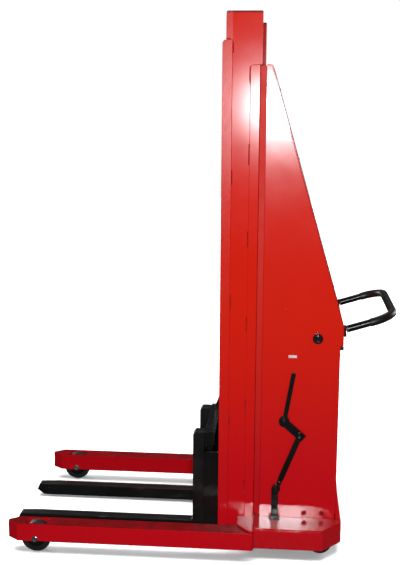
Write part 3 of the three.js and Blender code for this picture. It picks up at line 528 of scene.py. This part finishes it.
def softened(node, bevel, material, segments=2):
    """The CAD node's own shape with rounded edges, in place of the node."""
    source = frame["nodes"][node]
    bm = bmesh.new()
    bm.from_mesh(source.data)
    bmesh.ops.remove_doubles(bm, verts=bm.verts, dist=0.00002)
    bmesh.ops.dissolve_limit(bm, angle_limit=math.radians(1.2), verts=bm.verts, edges=bm.edges)
    body = source["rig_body"]
    return finish_piece(bm, node + "_finished", material, body, [node], bevel, segments=segments)


# ------------------------------------------------------------------ fasteners and welds
def dome_screw(place, direction, radius=4.2, height=2.4):
    """A domed head with a round recess."""
    profile = [
        (0, height * 0.45), (radius * 0.42, height * 0.45), (radius * 0.46, height * 0.95),
        (radius * 0.78, height * 0.8), (radius, height * 0.25), (radius, -0.6), (0, -0.6),
    ]
    return moved(turned(profile, 24), place, direction)


def rivet(place, direction, radius=4.0, height=2.0):
    """A plain domed head."""
    dome = [(radius * math.sin(a), height * math.cos(a)) for a in (0, 0.4, 0.8, 1.2, 1.5708)]
    return moved(turned(dome + [(radius, -0.6), (0, -0.6)], 24), place, direction)


def hex_bolt(place, direction, flats=13.0, height=5.5, spin=0.0):
    """A hexagon head, flats millimetres across, on a round washer."""
    across = flats / math.sqrt(3)
    head = [(0, height), (across * 0.84, height), (across, height - 0.9), (across, 1.6), (0, 1.6)]
    washer = fillet([(0, 1.7), (across * 1.35, 1.7), (across * 1.35, -0.4), (0, -0.4)], 0.4)
    return [moved(turned(head, 6), place, direction, spin), moved(turned(washer, 32), place, direction)]


def weld(start, end, radius=2.6, pitch=3.4):
    """A rippled bead with tapered ends."""
    start, end = Vector(start), Vector(end)
    length = (end - start).length
    steps = max(4, int(length / 0.0011))
    path = [start.lerp(end, k / steps) for k in range(steps + 1)]
    radii = []
    for k in range(steps + 1):
        s = length * k / steps * 1000
        ripple = 1 + 0.16 * math.cos(2 * math.pi * s / pitch)
        taper = min(1, 0.35 + min(k, steps - k) / 4)
        radii.append(radius * ripple * taper)
    return tube(path, radii, 10)


# ------------------------------------------------------------------ painted frame and covers
def build_frame():
    for node, bevel, material in (
        ("base_plate", 1.4, RED_BASE), ("base_skirt", 1.2, RED_BASE), ("kick_skirt", 0.8, RED_BASE),
        ("leg_left", 2.4, RED_LEG), ("leg_right", 2.4, RED_LEG),
        ("mast_side_left", 1.1, RED_STRIP), ("mast_side_right", 1.1, RED_STRIP),
        ("mast_rail_left", 1.6, RED_INNER), ("mast_rail_right", 1.6, RED_INNER),
        ("mast_foot_beam", 2.5, RED_INNER), ("mast_top_beam", 2.0, RED_INNER),
        ("chain_anchor_beam", 1.5, RED_INNER), ("cover_rail_left", 1.6, RED_INNER),
        ("cover_rail_right", 1.6, RED_INNER), ("upper_rear_cover", 0.9, RED),
        ("lower_rear_cover", 0.7, RED), ("side_panel_left", 0.8, RED), ("side_panel_right", 0.8, RED),
        ("equipment_shelf", 1.0, RED_INNER),
    ):
        softened(node, bevel, material)


def build_seams():
    stitches = (   # X of a seam of the mast's strip, and the top and bottom of each bead on it
        (36.6, ((1893, 1854), (1442, 1388), (985, 930), (528, 473))),
        (98.4, ((1809, 1747), (1536, 1461), (1222, 1163), (905, 846), (588, 529), (271, 212))),
    )
    for side, s in SIDES:
        face = s * 265.2
        beads = [
            weld(at(x, face, low), at(x, face, high))
            for x, spans in stitches for high, low in spans
        ]
        beads.append(weld(at(12.5, s * 264.8, 1904), at(30, s * 264.8, 1903.5), 2.0))
        piece(f"mast_welds_{side}", beads, RED_WELD_SHADED, "chassis")
        joint = [
            weld(at(139, s * 340, 123.5), at(139, s * 372, 123.5), 2.4),
            weld(at(138.5, s * 411, 52), at(138.5, s * 411, 112), 2.0),
        ]
        piece(f"leg_welds_{side}", joint, RED_WELD_SHADED, "chassis")


def build_fasteners():
    for side, s in SIDES:
        out = (0, s, 0)
        panel = s * PANEL_Y * 1000
        rivets = [rivet(at(x, panel, z), out) for x, z in ((241, 932), (359, 854), (424, 850))]
        piece(f"panel_rivets_{side}", rivets, RED, "chassis")
        bolts = []
        for x, turn in ((328, 0.2), (394, 0.5)):
            bolts += hex_bolt(at(x, panel, 143), out, 12.5, 6.5, turn)
        piece(f"base_bolts_{side}", bolts, RED_BOLT_SHADED, "chassis", sharp=25)

    rise, run = 942, 280.5   # of the hood's sloping back
    outward = Vector((rise, 0, run)).normalized()
    along = Vector((-run, 0, rise)).normalized()
    foot = at(457.5, 0, 874)
    hood = [
        dome_screw(foot + along * step / 1000 + Vector((0, y, 0)), outward)
        for y in (-0.247, 0.247) for step in (60, 330, 610, 900)
    ]
    piece("hood_screws", hood, STEEL, "chassis")
    cover = [
        dome_screw(at(446, y, z), (1, 0, 0))
        for y in (-247, 247) for z in (760, 530, 310)
    ]
    piece("lower_cover_screws", cover, STEEL, "chassis")

    outline = fillet([(-6, -7), (7, -7), (7, 5), (-2, 9), (-6, 9)], 1.5, closed=True)
    verts, faces = prism(outline, 0, 4)
    for side, s in SIDES:
        place = at(451, s * 264.1, 793)
        catch = [Vector((x, z * s, y)) + place for x, y, z in verts]
        piece(f"cover_catch_{side}", [(catch, faces)], PLASTIC, "chassis", bevel=0.6)


def build_plate():
    back, face = -264.0, -265.0
    plate = slab(at(256, face, 751), at(287, back, 761))
    piece("blank_plate", [plate], ALUMINIUM, "chassis", bevel=0.25)
    pins = [rivet(at(x, face, 756), (0, -1, 0), 1.1, 0.7) for x in (259, 284)]
    piece("blank_plate_pins", pins, STEEL, "chassis")


# ------------------------------------------------------------------ wheels
def build_load_wheels():
    tread = ring([(37, -20.5), (54, -20.5), (57, -17), (57, 17), (54, 20.5), (37, 20.5)], 1.4)
    hub = [
        (8.7, -19), (14, -19), (14.5, -17), (22, -17), (22.5, -19), (24, -19), (25, -14), (33, -14),
        (34, -20.2), (36.8, -20.2), (36.8, 20.2), (34, 20.2), (33, 14), (25, 14), (24, 19), (22.5, 19),
        (22, 17), (14.5, 17), (14, 19), (8.7, 19), (8.7, -19),
    ]
    shank, collar, hollow = 7.9, 12, 4.6   # radii of the axle, its end collars and their sockets
    for side, _ in SIDES:
        wheel, axle = f"load_wheel_{side}", f"load_axle_{side}"
        body = f"front_wheel_{side}"
        centre = middle(wheel)
        piece(f"load_tread_{side}", [moved(turned(tread, 96), centre, (0, 1, 0))], TYRE, body,
              [wheel], sharp=50)
        piece(f"load_hub_{side}", [moved(turned(hub, 64), centre, (0, 1, 0))], BLACK, body)
        low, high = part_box(axle)
        reach = (high.y - low.y) * 500
        rim = fillet([
            (0, reach), (9.5, reach), (collar, reach - 1.6), (collar, reach - 3.9), (shank, reach - 3.9),
        ], 0.7)[1:]
        socket = [(0, reach - 2.4), (4.2, reach - 2.4), (hollow, reach)]
        profile = [*socket, *rim, *((r, -h) for r, h in reversed(rim)), (hollow, -reach), (0, -reach + 2.4)]
        piece(f"load_axle_pin_{side}", [moved(turned(profile, 48), middle(axle), (0, 1, 0))], STEEL,
              "chassis", [axle])


def build_casters():
    tread = ring([(33.5, -15.5), (41, -15.5), (45, -11), (45, 11), (41, 15.5), (33.5, 15.5)], 2.0)
    hub = [
        (6.7, -15.8), (11, -15.8), (12, -13), (15, -12), (16, -9), (30, -8), (31.5, -15), (33.3, -15),
        (33.3, 15), (31.5, 15), (30, 8), (16, 9), (15, 12), (12, 13), (11, 15.8), (6.7, 15.8), (6.7, -15.8),
    ]
    for side, _ in SIDES:
        wheel, plate, fork = (f"caster_{part}_{side}" for part in ("wheel", "plate", "fork"))
        body = f"rear_wheel_{side}"
        softened(plate, 1.2, STEEL)
        softened(fork, 0.9, STEEL)
        centre = middle(wheel)
        piece(f"caster_tread_{side}", [moved(turned(tread, 80), centre, (0, 1, 0))], TYRE,
              body, [wheel], sharp=50)
        piece(f"caster_hub_{side}", [moved(turned(hub, 56), centre, (0, 1, 0))], PLASTIC, body)
        low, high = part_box(plate)
        bolts = []
        for x in (low.x + 0.011, high.x - 0.011):
            for y in (low.y + 0.009, high.y - 0.009):
                bolts += hex_bolt((x, y, high.z - 0.006), (0, 0, -1), 9, 4.5)
        piece(f"caster_bolts_{side}", bolts, STEEL, "chassis", sharp=25)
        low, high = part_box(fork)
        nuts = []
        for y, t in ((low.y, -1), (high.y, 1)):
            nuts += hex_bolt((centre.x, y - t * 0.0035, centre.z), (0, t, 0), 11, 3.2)
        piece(f"caster_nuts_{side}", nuts, STEEL, f"swivel_{side}", sharp=25)


# ------------------------------------------------------------------ cylinder, chain and sheave
def scalloped_strip(path, normals):
    """A leaf chain along a path: thin plates with scalloped edges, alternate ones half a pitch apart."""
    plates, width, pitch = 7, 19.0, 15.875
    step = width / plates
    lengths = [0.0]
    for a, b in zip(path, path[1:]):
        lengths.append(lengths[-1] + (b - a).length * 1000)
    shapes = []
    for n in range(plates):
        y0 = -width / 2 + n * step + 0.25
        y1 = y0 + step - 0.5
        phase = (n % 2) * pitch / 2
        verts, faces = [], []
        for i, (point, normal) in enumerate(zip(path, normals)):
            half = 3.2 + 0.75 * math.cos(2 * math.pi * (lengths[i] + phase) / pitch)
            for sign, y in ((-1, y0), (1, y0), (1, y1), (-1, y1)):
                verts.append(point + normal * sign * half / 1000 + Vector((0, y / 1000, 0)))
            if i:
                low, high = 4 * i - 4, 4 * i
                faces += [[low + k, low + m, high + m, high + k] for k, m in SQUARE]
        end = len(verts) - 4
        faces += [[3, 2, 1, 0], [end, end + 1, end + 2, end + 3]]
        shapes.append((verts, faces))

    reach, margin = width / 2 + 0.2, 4
    pin = turned([(0, -reach), (2.3, -reach), (2.3, reach), (0, reach)], 10)
    for k in range(int((lengths[-1] - margin) / (pitch / 2))):
        distance = margin + k * pitch / 2
        i = next(j for j, value in enumerate(lengths) if value >= distance)
        shapes.append(moved(pin, path[i], (0, 1, 0)))
    return shapes


def straight_chain(node):
    """The shapes of an upright run, as long as its CAD node."""
    low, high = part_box(node)
    x = (low.x + high.x) / 2
    steps = int((high.z - low.z) / 0.002)
    path = [Vector((x, 0, low.z + (high.z - low.z) * k / steps)) for k in range(steps + 1)]
    return scalloped_strip(path, [Vector((1, 0, 0))] * len(path))


def build_chain():
    front = piece("leaf_chain_front", straight_chain("chain_front_run"), CHAIN, "ram",
                  ["chain_front_run"])
    low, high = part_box("chain_front_run")
    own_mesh(front)

    low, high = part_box("chain_over_sheave")
    centre = Vector(((low.x + high.x) / 2, 0, low.z))
    half_thickness, steps = 0.004, 62
    radius = (high.x - low.x) / 2 - half_thickness
    angles = [math.pi * k / steps for k in range(steps + 1)]
    normals = [Vector((math.cos(a), 0, math.sin(a))) for a in angles]
    wrap = [centre + n * radius for n in normals]
    piece("leaf_chain_wrap", scalloped_strip(wrap, normals), CHAIN, "ram", ["chain_over_sheave"])

    rear = piece("leaf_chain_rear", straight_chain("chain_rear_run"), CHAIN, "chassis",
                 ["chain_rear_run"])
    low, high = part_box("chain_rear_run")
    x = (low.x + high.x) / 2
    rear.parent = None   # it stretches between its two ends instead of riding on one
    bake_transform(rear, "chassis", "ram", start=(x, 0, low.z + 0.01), end=(x, 0, high.z - 0.002))


def build_cylinder():
    axis_x = middle("piston_rod").x
    axis = Vector((axis_x, 0, 0))
    softened("lift_cylinder", 0.8, BLACK)
    foot, _ = heights("lift_cylinder")
    bead = ring([(29.8, foot + 8), (33, foot + 10), (33, foot + 14), (29.8, foot + 17)], 1.2)
    piece("cylinder_weld_ring", [moved(turned(bead, 64), axis)], BLACK, "chassis")
    low, high = heights("cylinder_gland")
    gland = [
        (19.4, low), (32.6, low), (33, low + 1), (33, low + 15), (31, low + 16), (31, high - 2),
        (29, high), (19.4, high), (19.4, low),
    ]
    piece("gland_nut", [moved(turned(gland, 64), axis)], TURNED, "chassis", ["cylinder_gland"])
    low, high = heights("piston_rod")
    rod = [(0, low), (24.6, low), (24.6, low + 40), (19, low + 41), (19, high), (0, high)]
    piece("chromed_rod", [moved(turned(rod, 72), axis)], CHROME, "ram", ["piston_rod"])
    softened("ram_crosshead", 1.0, BLACK)
    wheel = [
        (11.4, -12.8), (17, -12.8), (18, -10), (26, -10), (29, -12.6), (43.4, -12.8), (44, -12.2),
        (43.6, -11.4), (36, -10.6), (35.2, -9.8), (35.2, 9.8), (36, 10.6), (43.6, 11.4), (44, 12.2),
        (43.4, 12.8), (29, 12.6), (26, 10), (18, 10), (17, 12.8), (11.4, 12.8), (11.4, -12.8),
    ]
    piece("grooved_sheave", [moved(turned(wheel, 80), middle("chain_sheave"), (0, 1, 0))], TURNED,
          "sheave", ["chain_sheave"])
    stud = turned([(0, -26), (4.6, -26), (5, -25), (5, 6), (0, 6)], 24)
    under_chain = (axis_x + 0.040, 0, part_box("chain_rear_run")[0].z - 0.008)
    piece("chain_anchor_stud", [moved(stud, under_chain)], STEEL, "chassis")


# ------------------------------------------------------------------ carriage
def build_carriage():
    bar_edges = (0.1125, 0.0595, 0.3725, 0.4235)   # heights where the cross bars end
    race = [
        (12.4, -13), (17, -13), (17.5, -11.6), (26, -11.6), (26.5, -13.4), (33, -14), (34.7, -12),
        (34.7, 12), (33, 14), (26.5, 13.4), (26, 11.6), (17.5, 11.6), (17, 13), (12.4, 13), (12.4, -13),
    ]
    softened("carriage_frame", 2.0, BLACK, 3)
    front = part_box("carriage_frame")[0].x
    for side, s in SIDES:
        softened(f"carriage_cheek_{side}", 2.0, BLACK, 3)
        softened(f"fork_{side}", 2.6, BLACK_WORN, 3)
        cheek = s * 0.187
        low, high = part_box(f"fork_{side}")
        shank = (high.y if s < 0 else low.y) - s * 0.001
        beads = []
        for z in bar_edges:
            beads.append(weld((front + 0.001, cheek, z), (front + 0.038, cheek, z), 2.4))
            beads.append(weld((front + 0.0005, shank, z - 0.006), (front + 0.0005, shank, z + 0.006), 2.2))
        piece(f"carriage_welds_{side}", beads, BLACK, "carriage")
        for level in ("lower", "upper"):
            node = f"mast_roller_{level}_{side}"
            piece(f"bearing_{level}_{side}", [moved(turned(race, 72), middle(node), (0, 1, 0))], TURNED,
                  f"roller_{level}_{side}", [node])


# ------------------------------------------------------------------ push handle
def handle_path(start, end, steps):
    """Points along the handle between two shares of its length, and the share where the grip starts."""
    root_x, half_width, root_z = HANDLE_ROOT
    bar_x, bend, grip_lead = 639.5, 80.0, 12
    scale = math.hypot(1, HANDLE_SLOPE)
    arm = (bar_x - root_x) * scale - bend
    quarter = bend * math.pi / 2
    total = 2 * arm + 2 * quarter + 2 * (half_width - bend)
    points = []
    for k in range(steps + 1):
        distance = (start + (end - start) * k / steps) * total
        far = distance > total / 2
        d = total - distance if far else distance
        along, side = d, half_width
        if d > arm + quarter:
            along, side = arm + bend, half_width - bend - (d - arm - quarter)
        elif d > arm:
            angle = (d - arm) / bend
            along, side = arm + bend * math.sin(angle), half_width - bend * (1 - math.cos(angle))
        run = along / scale
        points.append(at(root_x + run, side if far else -side, root_z + run * HANDLE_SLOPE))
    return points, (arm - grip_lead) / total


def build_handle():
    steps, tube_radius, grip_radius, lip_radius = 150, 13.5, 15.5, 14.6
    points, grip_start = handle_path(0, 1, steps)
    piece("handle_tube", [tube(points, tube_radius, 28)], BLACK_TUBE, "chassis",
          ["push_handle"], sharp=60)
    points, _ = handle_path(grip_start, 1 - grip_start, steps)
    radii = [lip_radius, *[grip_radius] * (steps - 1), lip_radius]
    piece("handle_sleeve", [tube(points, radii, 28)], GRIP, "chassis", ["handle_grip"], sharp=60)
    collar = fillet([(0, 0), (15.6, 0), (15.6, 2.5), (13.4, 4.5), (0, 4.5)], 0.8)
    root_x, half_width, root_z = HANDLE_ROOT
    for side, s in SIDES:
        softened(f"handle_bracket_{side}", 1.6, BLACK)
        low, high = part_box(f"handle_bracket_{side}")
        y = (low.y + high.y) / 2
        screws = [
            dome_screw((high.x, y + dy, z), (1, 0, 0), 3.2, 2.0)
            for dy in (-0.0145, 0.0145) for z in (low.z + 0.007, high.z - 0.007)
        ]
        root = at(root_x, s * half_width, root_z) - Vector((0.0045, 0, 0.0014))
        piece(f"handle_collar_{side}", [moved(turned(collar, 36), root, (1, 0, HANDLE_SLOPE))], BLACK,
              "chassis")
        piece(f"handle_screws_{side}", screws, STEEL, "chassis")


# ------------------------------------------------------------------ floor lock and knob
def build_floor_lock():
    for node, bevel in (("lock_pivot", 0.7), ("lock_lever", 1.3), ("lock_link", 0.8), ("lock_plunger", 1.1)):
        softened(node, bevel, BLACK)
    out = (0, -1, 0)
    deck = DECK_Z * 1000
    keeper = [
        rectangle_ring(((194, -293), (236, -265.4)), ((198, -286.4), (232, -271.6)), deck + 0.3, deck + 4),
        slab((*at(200, -293, 0).xy, DECK_Z + 0.003), (*at(230, -287, 0).xy, DECK_Z + 0.016)),
    ]
    piece("plunger_keeper", keeper, BLACK, "chassis", ["lock_guide"], bevel=0.7)

    def on_face(node, pin, proud=0.0):
        """The point of a pin's axis on the outer face of a node, in metres."""
        return at(pin[0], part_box(node)[0].y * 1000 + proud, pin[1])

    head = turned(fillet([(0, 2.4), (6.5, 2.4), (8, 1.0), (8, -0.8), (0, -0.8)], 0.6), 36)
    crank, clevis = on_face("lock_link", LOCK_CRANK), on_face("lock_link", LOCK_CLEVIS)
    piece("lock_link_pins", [moved(head, crank, out), moved(head, clevis, out)], BLACK_WORN, "link")
    centre = turned([(0, 4.0), (2.6, 4.0), (3.4, 3.2), (3.4, 1.5), (0, 1.5)], 20)
    piece("crank_pin_end", [moved(centre, crank, out)], STEEL, "link")
    top, foot = (at(x, LOCK_Y, z) for x, z in (LOCK_CRANK, LOCK_CLEVIS))
    adjuster = tube([top.lerp(foot, 0.795), top.lerp(foot, 0.895)], 5.9, 20)
    piece("link_adjuster", [adjuster], STEEL, "link")
    bolt = hex_bolt(on_face("lock_pivot", LOCK_HUB, 0.3), out, 12, 4.5, 0.3)
    piece("lock_hub_bolt", bolt, BLACK, "chassis", sharp=25)
    collar = turned(ring([(13.5, 0), (19.4, 0), (19.4, 1.1), (13.5, 1.1)], 0.4), 48)
    piece("lock_hub_ring", [moved(collar, on_face("lock_lever", LOCK_HUB, 0.3), out)], BLACK, "lever")

    teeth = [slab(at(203, -284.7, z), at(227, -283.5, z + 2.2)) for z in range(150, 222, 6)]
    piece("plunger_teeth", teeth, BLACK, "plunger", bevel=0.4)
    low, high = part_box("lock_pad")
    height = (high.z - low.z) * 1000
    radius = (high.x - low.x) * 500
    base = Vector(((low.x + high.x) / 2, (low.y + high.y) / 2, low.z))
    pad = fillet([
        (0, 0), (radius, 0), (radius, 5), (radius - 2.5, 7), (radius - 3.5, height), (0, height),
    ], 1.5)
    piece("lock_foot", [moved(turned(pad, 56), base)], TYRE, "plunger", ["lock_pad"])


def build_knob():
    low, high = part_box("control_knob")
    x, z = (low.x + high.x) / 2, (low.z + high.z) / 2
    face = -low.y * 1000
    spindle, skirt, inside = 5, 265.2, 239   # spindle radius; where skirt and spindle end, from the middle
    profile = fillet([
        (0, face - 1.2), (9, face - 1.2), (10, face), (15, face), (18.3, face - 4), (18.5, 268),
        (14.5, skirt), (spindle, skirt),
    ], 1.0)
    profile += [(spindle, inside), (0, inside)]
    piece("turn_knob", [moved(turned(profile, 72), (x, 0, z), (0, -1, 0))], KNOB, "knob",
          ["control_knob"])
    count, circle = 18, 0.0177
    flute = turned([(0, -7), (1.0, -7), (1.3, -6), (1.3, 6), (1.0, 7), (0, 7)], 8)
    flutes = []
    for k in range(count):
        a = 2 * math.pi * k / count
        spot = Vector((x + circle * math.cos(a), -0.279, z + circle * math.sin(a)))
        flutes.append(moved(flute, spot, (0, 1, 0)))
    piece("knob_flutes", flutes, KNOB, "knob")
    line = slab((x - 0.0011, low.y - 0.0004, z + 0.010), (x + 0.0011, low.y + 0.0006, z + 0.0155))
    piece("knob_pointer", [line], ALUMINIUM, "knob")


# ------------------------------------------------------------------ power pack
def build_power_pack():
    softened("battery", 3.0, PLASTIC, 3)
    low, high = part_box("battery")
    size, top = high - low, high.z - 0.016
    cap = turned(fillet([(0, 9), (10, 9), (13, 6), (13, -1), (0, -1)], 1.4), 28)
    caps = [
        moved(cap, Vector((low.x + size.x * x, low.y + size.y * y, top)))
        for x in (0.25, 0.5, 0.75) for y in (0.3, 0.7)
    ]
    piece("battery_caps", caps, GRIP, "chassis")
    clamp = turned(ring([(9.2, 3), (14, 3), (14, 13), (9.2, 13)], 1.2), 28)
    clamps = [moved(clamp, at(225, s * 110, 352)) for _, s in SIDES]
    piece("battery_clamps", clamps, TURNED, "chassis")

    softened("hydraulic_unit", 2.4, BLACK, 3)
    motor, tank_top = at(240, 130, 0), 600
    bands = [
        moved(turned(ring([(55.9, z), (58.2, z + 1), (58.2, z + 9), (55.9, z + 10)], 0.8), 80), motor)
        for z in (556, 676)
    ]
    piece("motor_bands", bands, TURNED, "chassis")
    studs, circle = [], 0.042
    for k in range(4):
        a = math.pi / 4 + k * math.pi / 2
        spot = motor + Vector((circle * math.cos(a), circle * math.sin(a), 0.7))
        studs += hex_bolt(spot, (0, 0, 1), 8, 4)
    piece("motor_bolts", studs, STEEL, "chassis", sharp=25)
    cap = fillet([(0, 26), (16, 26), (19, 22), (19, 6), (12, 4), (12, -1), (0, -1)], 1.6)
    piece("tank_filler", [moved(turned(cap, 40), at(235, -90, tank_top))], PLASTIC, "chassis")
    lid_bolts = []
    for x in (198, 332):
        for y in (-167, -50, 68):
            lid_bolts += hex_bolt(at(x, y, tank_top), (0, 0, 1), 8, 4)
    piece("tank_bolts", lid_bolts, STEEL, "chassis", sharp=25)

    route = [
        (167.7, 130, 490), (160, 130, 488), (150, 128, 465), (150, 110, 380), (150, 65, 240.3),
        (150, 20, 172.3), (145, 4, 154.3), (134.3, 0, 150.3),
    ]
    fitting = turned(fillet([(0, 0), (10, 0), (10, 9), (8, 11), (8, 15), (0, 15)], 0.8), 6)
    hose = [
        tube(smooth_path([at(*p) for p in route], 9), 7.0, 18),
        moved(fitting, at(175.7, 130, 490), (-1, 0, 0)),
        moved(fitting, at(129.3, 0, 150.3), (1, 0, 0)),
    ]
    piece("pressure_hose", hose, HOSE, "chassis", ["hydraulic_hose"], sharp=32)


def smooth_path(points, steps):
    """A Catmull-Rom curve through the points."""
    ends = [points[0] * 2 - points[1], *points, points[-1] * 2 - points[-2]]
    path = []
    for a, b, c, d in zip(ends, ends[1:], ends[2:], ends[3:]):
        for k in range(steps):
            t = k / steps
            square, cube = 2 * a - 5 * b + 4 * c - d, 3 * b - a - 3 * c + d
            path.append(0.5 * (2 * b + (c - a) * t + square * t * t + cube * t ** 3))
    return [*path, points[-1]]


# ------------------------------------------------------------------ floor and light
def build_stage():
    """A white floor that lights nothing itself and shows in no reflection."""
    reach = 14
    verts = [(-reach, -reach, 0), (reach, -reach, 0), (reach, reach, 0), (-reach, reach, 0)]
    mesh = bpy.data.meshes.new("floor")
    mesh.from_pydata(verts, [], [(0, 1, 2, 3)])
    mesh.materials.append(floor_white("floor_paper"))
    floor = bpy.data.objects.new("floor", mesh)
    bpy.context.scene.collection.objects.link(floor)
    floor.visible_glossy = False
    floor.visible_diffuse = False
    return floor


def soft_light(name, place, target, size, power):
    """A rectangular lamp that the camera doesn't see."""
    data = bpy.data.lights.new(name, "AREA")
    data.shape = "RECTANGLE"
    data.size, data.size_y = size
    data.energy = power
    lamp = bpy.data.objects.new(name, data)
    bpy.context.scene.collection.objects.link(lamp)
    lamp.location = place
    lamp.visible_camera = False
    lamp.rotation_mode = "QUATERNION"
    lamp.rotation_quaternion = (Vector(target) - Vector(place)).to_track_quat("-Z", "Y")
    return lamp


def build_light(floor):
    """A flash beside the lens, dim boxes round the room, and a sun that lights only the floor."""
    key = soft_light("key_by_camera", (0.285, -3.92, 1.672), (0.285, -0.26, 1.672), (0.52, 0.28), 131)
    key.data.color = (0.93, 0.98, 1.0)
    soft_light("rear_box", (4.0, 2.6, 1.7), (0, 0, 0.9), (2.0, 1.8), 110)
    soft_light("far_box", (0.2, 4.0, 5.6), (0, 0, 0.9), (2.0, 2.0), 60)
    soft_light("fork_box", (-3.6, 3.5, 1.5), (0, 0, 0.8), (1.8, 1.6), 120)
    soft_light("top_box", (0, 0.4, 4.6), (0, 0, 0), (2.5, 2.5), 9)
    data = bpy.data.lights.new("floor_sun", "SUN")
    data.energy = 4.8
    data.angle = math.radians(50)
    sun = bpy.data.objects.new("floor_sun", data)
    bpy.context.scene.collection.objects.link(sun)
    group = bpy.data.collections.new("floor_receivers")
    group.objects.link(floor)
    sun.light_linking.receiver_collection = group


def build_world():
    """White to the camera, and a dim room to everything else, dimmer still in reflections."""
    world = bpy.data.worlds.new("studio")
    bpy.context.scene.world = world
    world.use_nodes = True
    tree = world.node_tree
    tree.nodes.clear()
    output = tree.nodes.new("ShaderNodeOutputWorld")
    blend = tree.nodes.new("ShaderNodeMixShader")
    seen = tree.nodes.new("ShaderNodeBackground")
    seen.inputs["Color"].default_value = (1, 1, 1, 1)
    room = tree.nodes.new("ShaderNodeBackground")
    coords = tree.nodes.new("ShaderNodeTexCoord")
    split = tree.nodes.new("ShaderNodeSeparateXYZ")
    ramp = tree.nodes.new("ShaderNodeMapRange")
    ramp.inputs["From Min"].default_value = -0.6
    ramp.inputs["From Max"].default_value = 0.9
    ramp.inputs["To Min"].default_value = 0.14
    ramp.inputs["To Max"].default_value = 0.26
    tree.links.new(coords.outputs["Generated"], split.inputs[0])
    tree.links.new(split.outputs["Z"], ramp.inputs["Value"])
    ray = tree.nodes.new("ShaderNodeLightPath")
    dim = tree.nodes.new("ShaderNodeMapRange")
    dim.inputs["To Min"].default_value = 1.0
    dim.inputs["To Max"].default_value = 0.3
    tree.links.new(ray.outputs["Is Glossy Ray"], dim.inputs["Value"])
    both = tree.nodes.new("ShaderNodeMath")
    both.operation = "MULTIPLY"
    tree.links.new(ramp.outputs[0], both.inputs[0])
    tree.links.new(dim.outputs[0], both.inputs[1])
    tree.links.new(both.outputs[0], room.inputs["Strength"])
    tree.links.new(ray.outputs["Is Camera Ray"], blend.inputs[0])
    tree.links.new(room.outputs[0], blend.inputs[1])
    tree.links.new(seen.outputs[0], blend.inputs[2])
    tree.links.new(blend.outputs[0], output.inputs[0])
    bpy.context.scene.view_settings.view_transform = "Standard"


aim_camera()
build_frame()
build_seams()
build_fasteners()
build_plate()
build_load_wheels()
build_casters()
build_chain()
build_cylinder()
build_carriage()
build_handle()
build_floor_lock()
build_knob()
build_power_pack()
build_light(build_stage())
build_world()
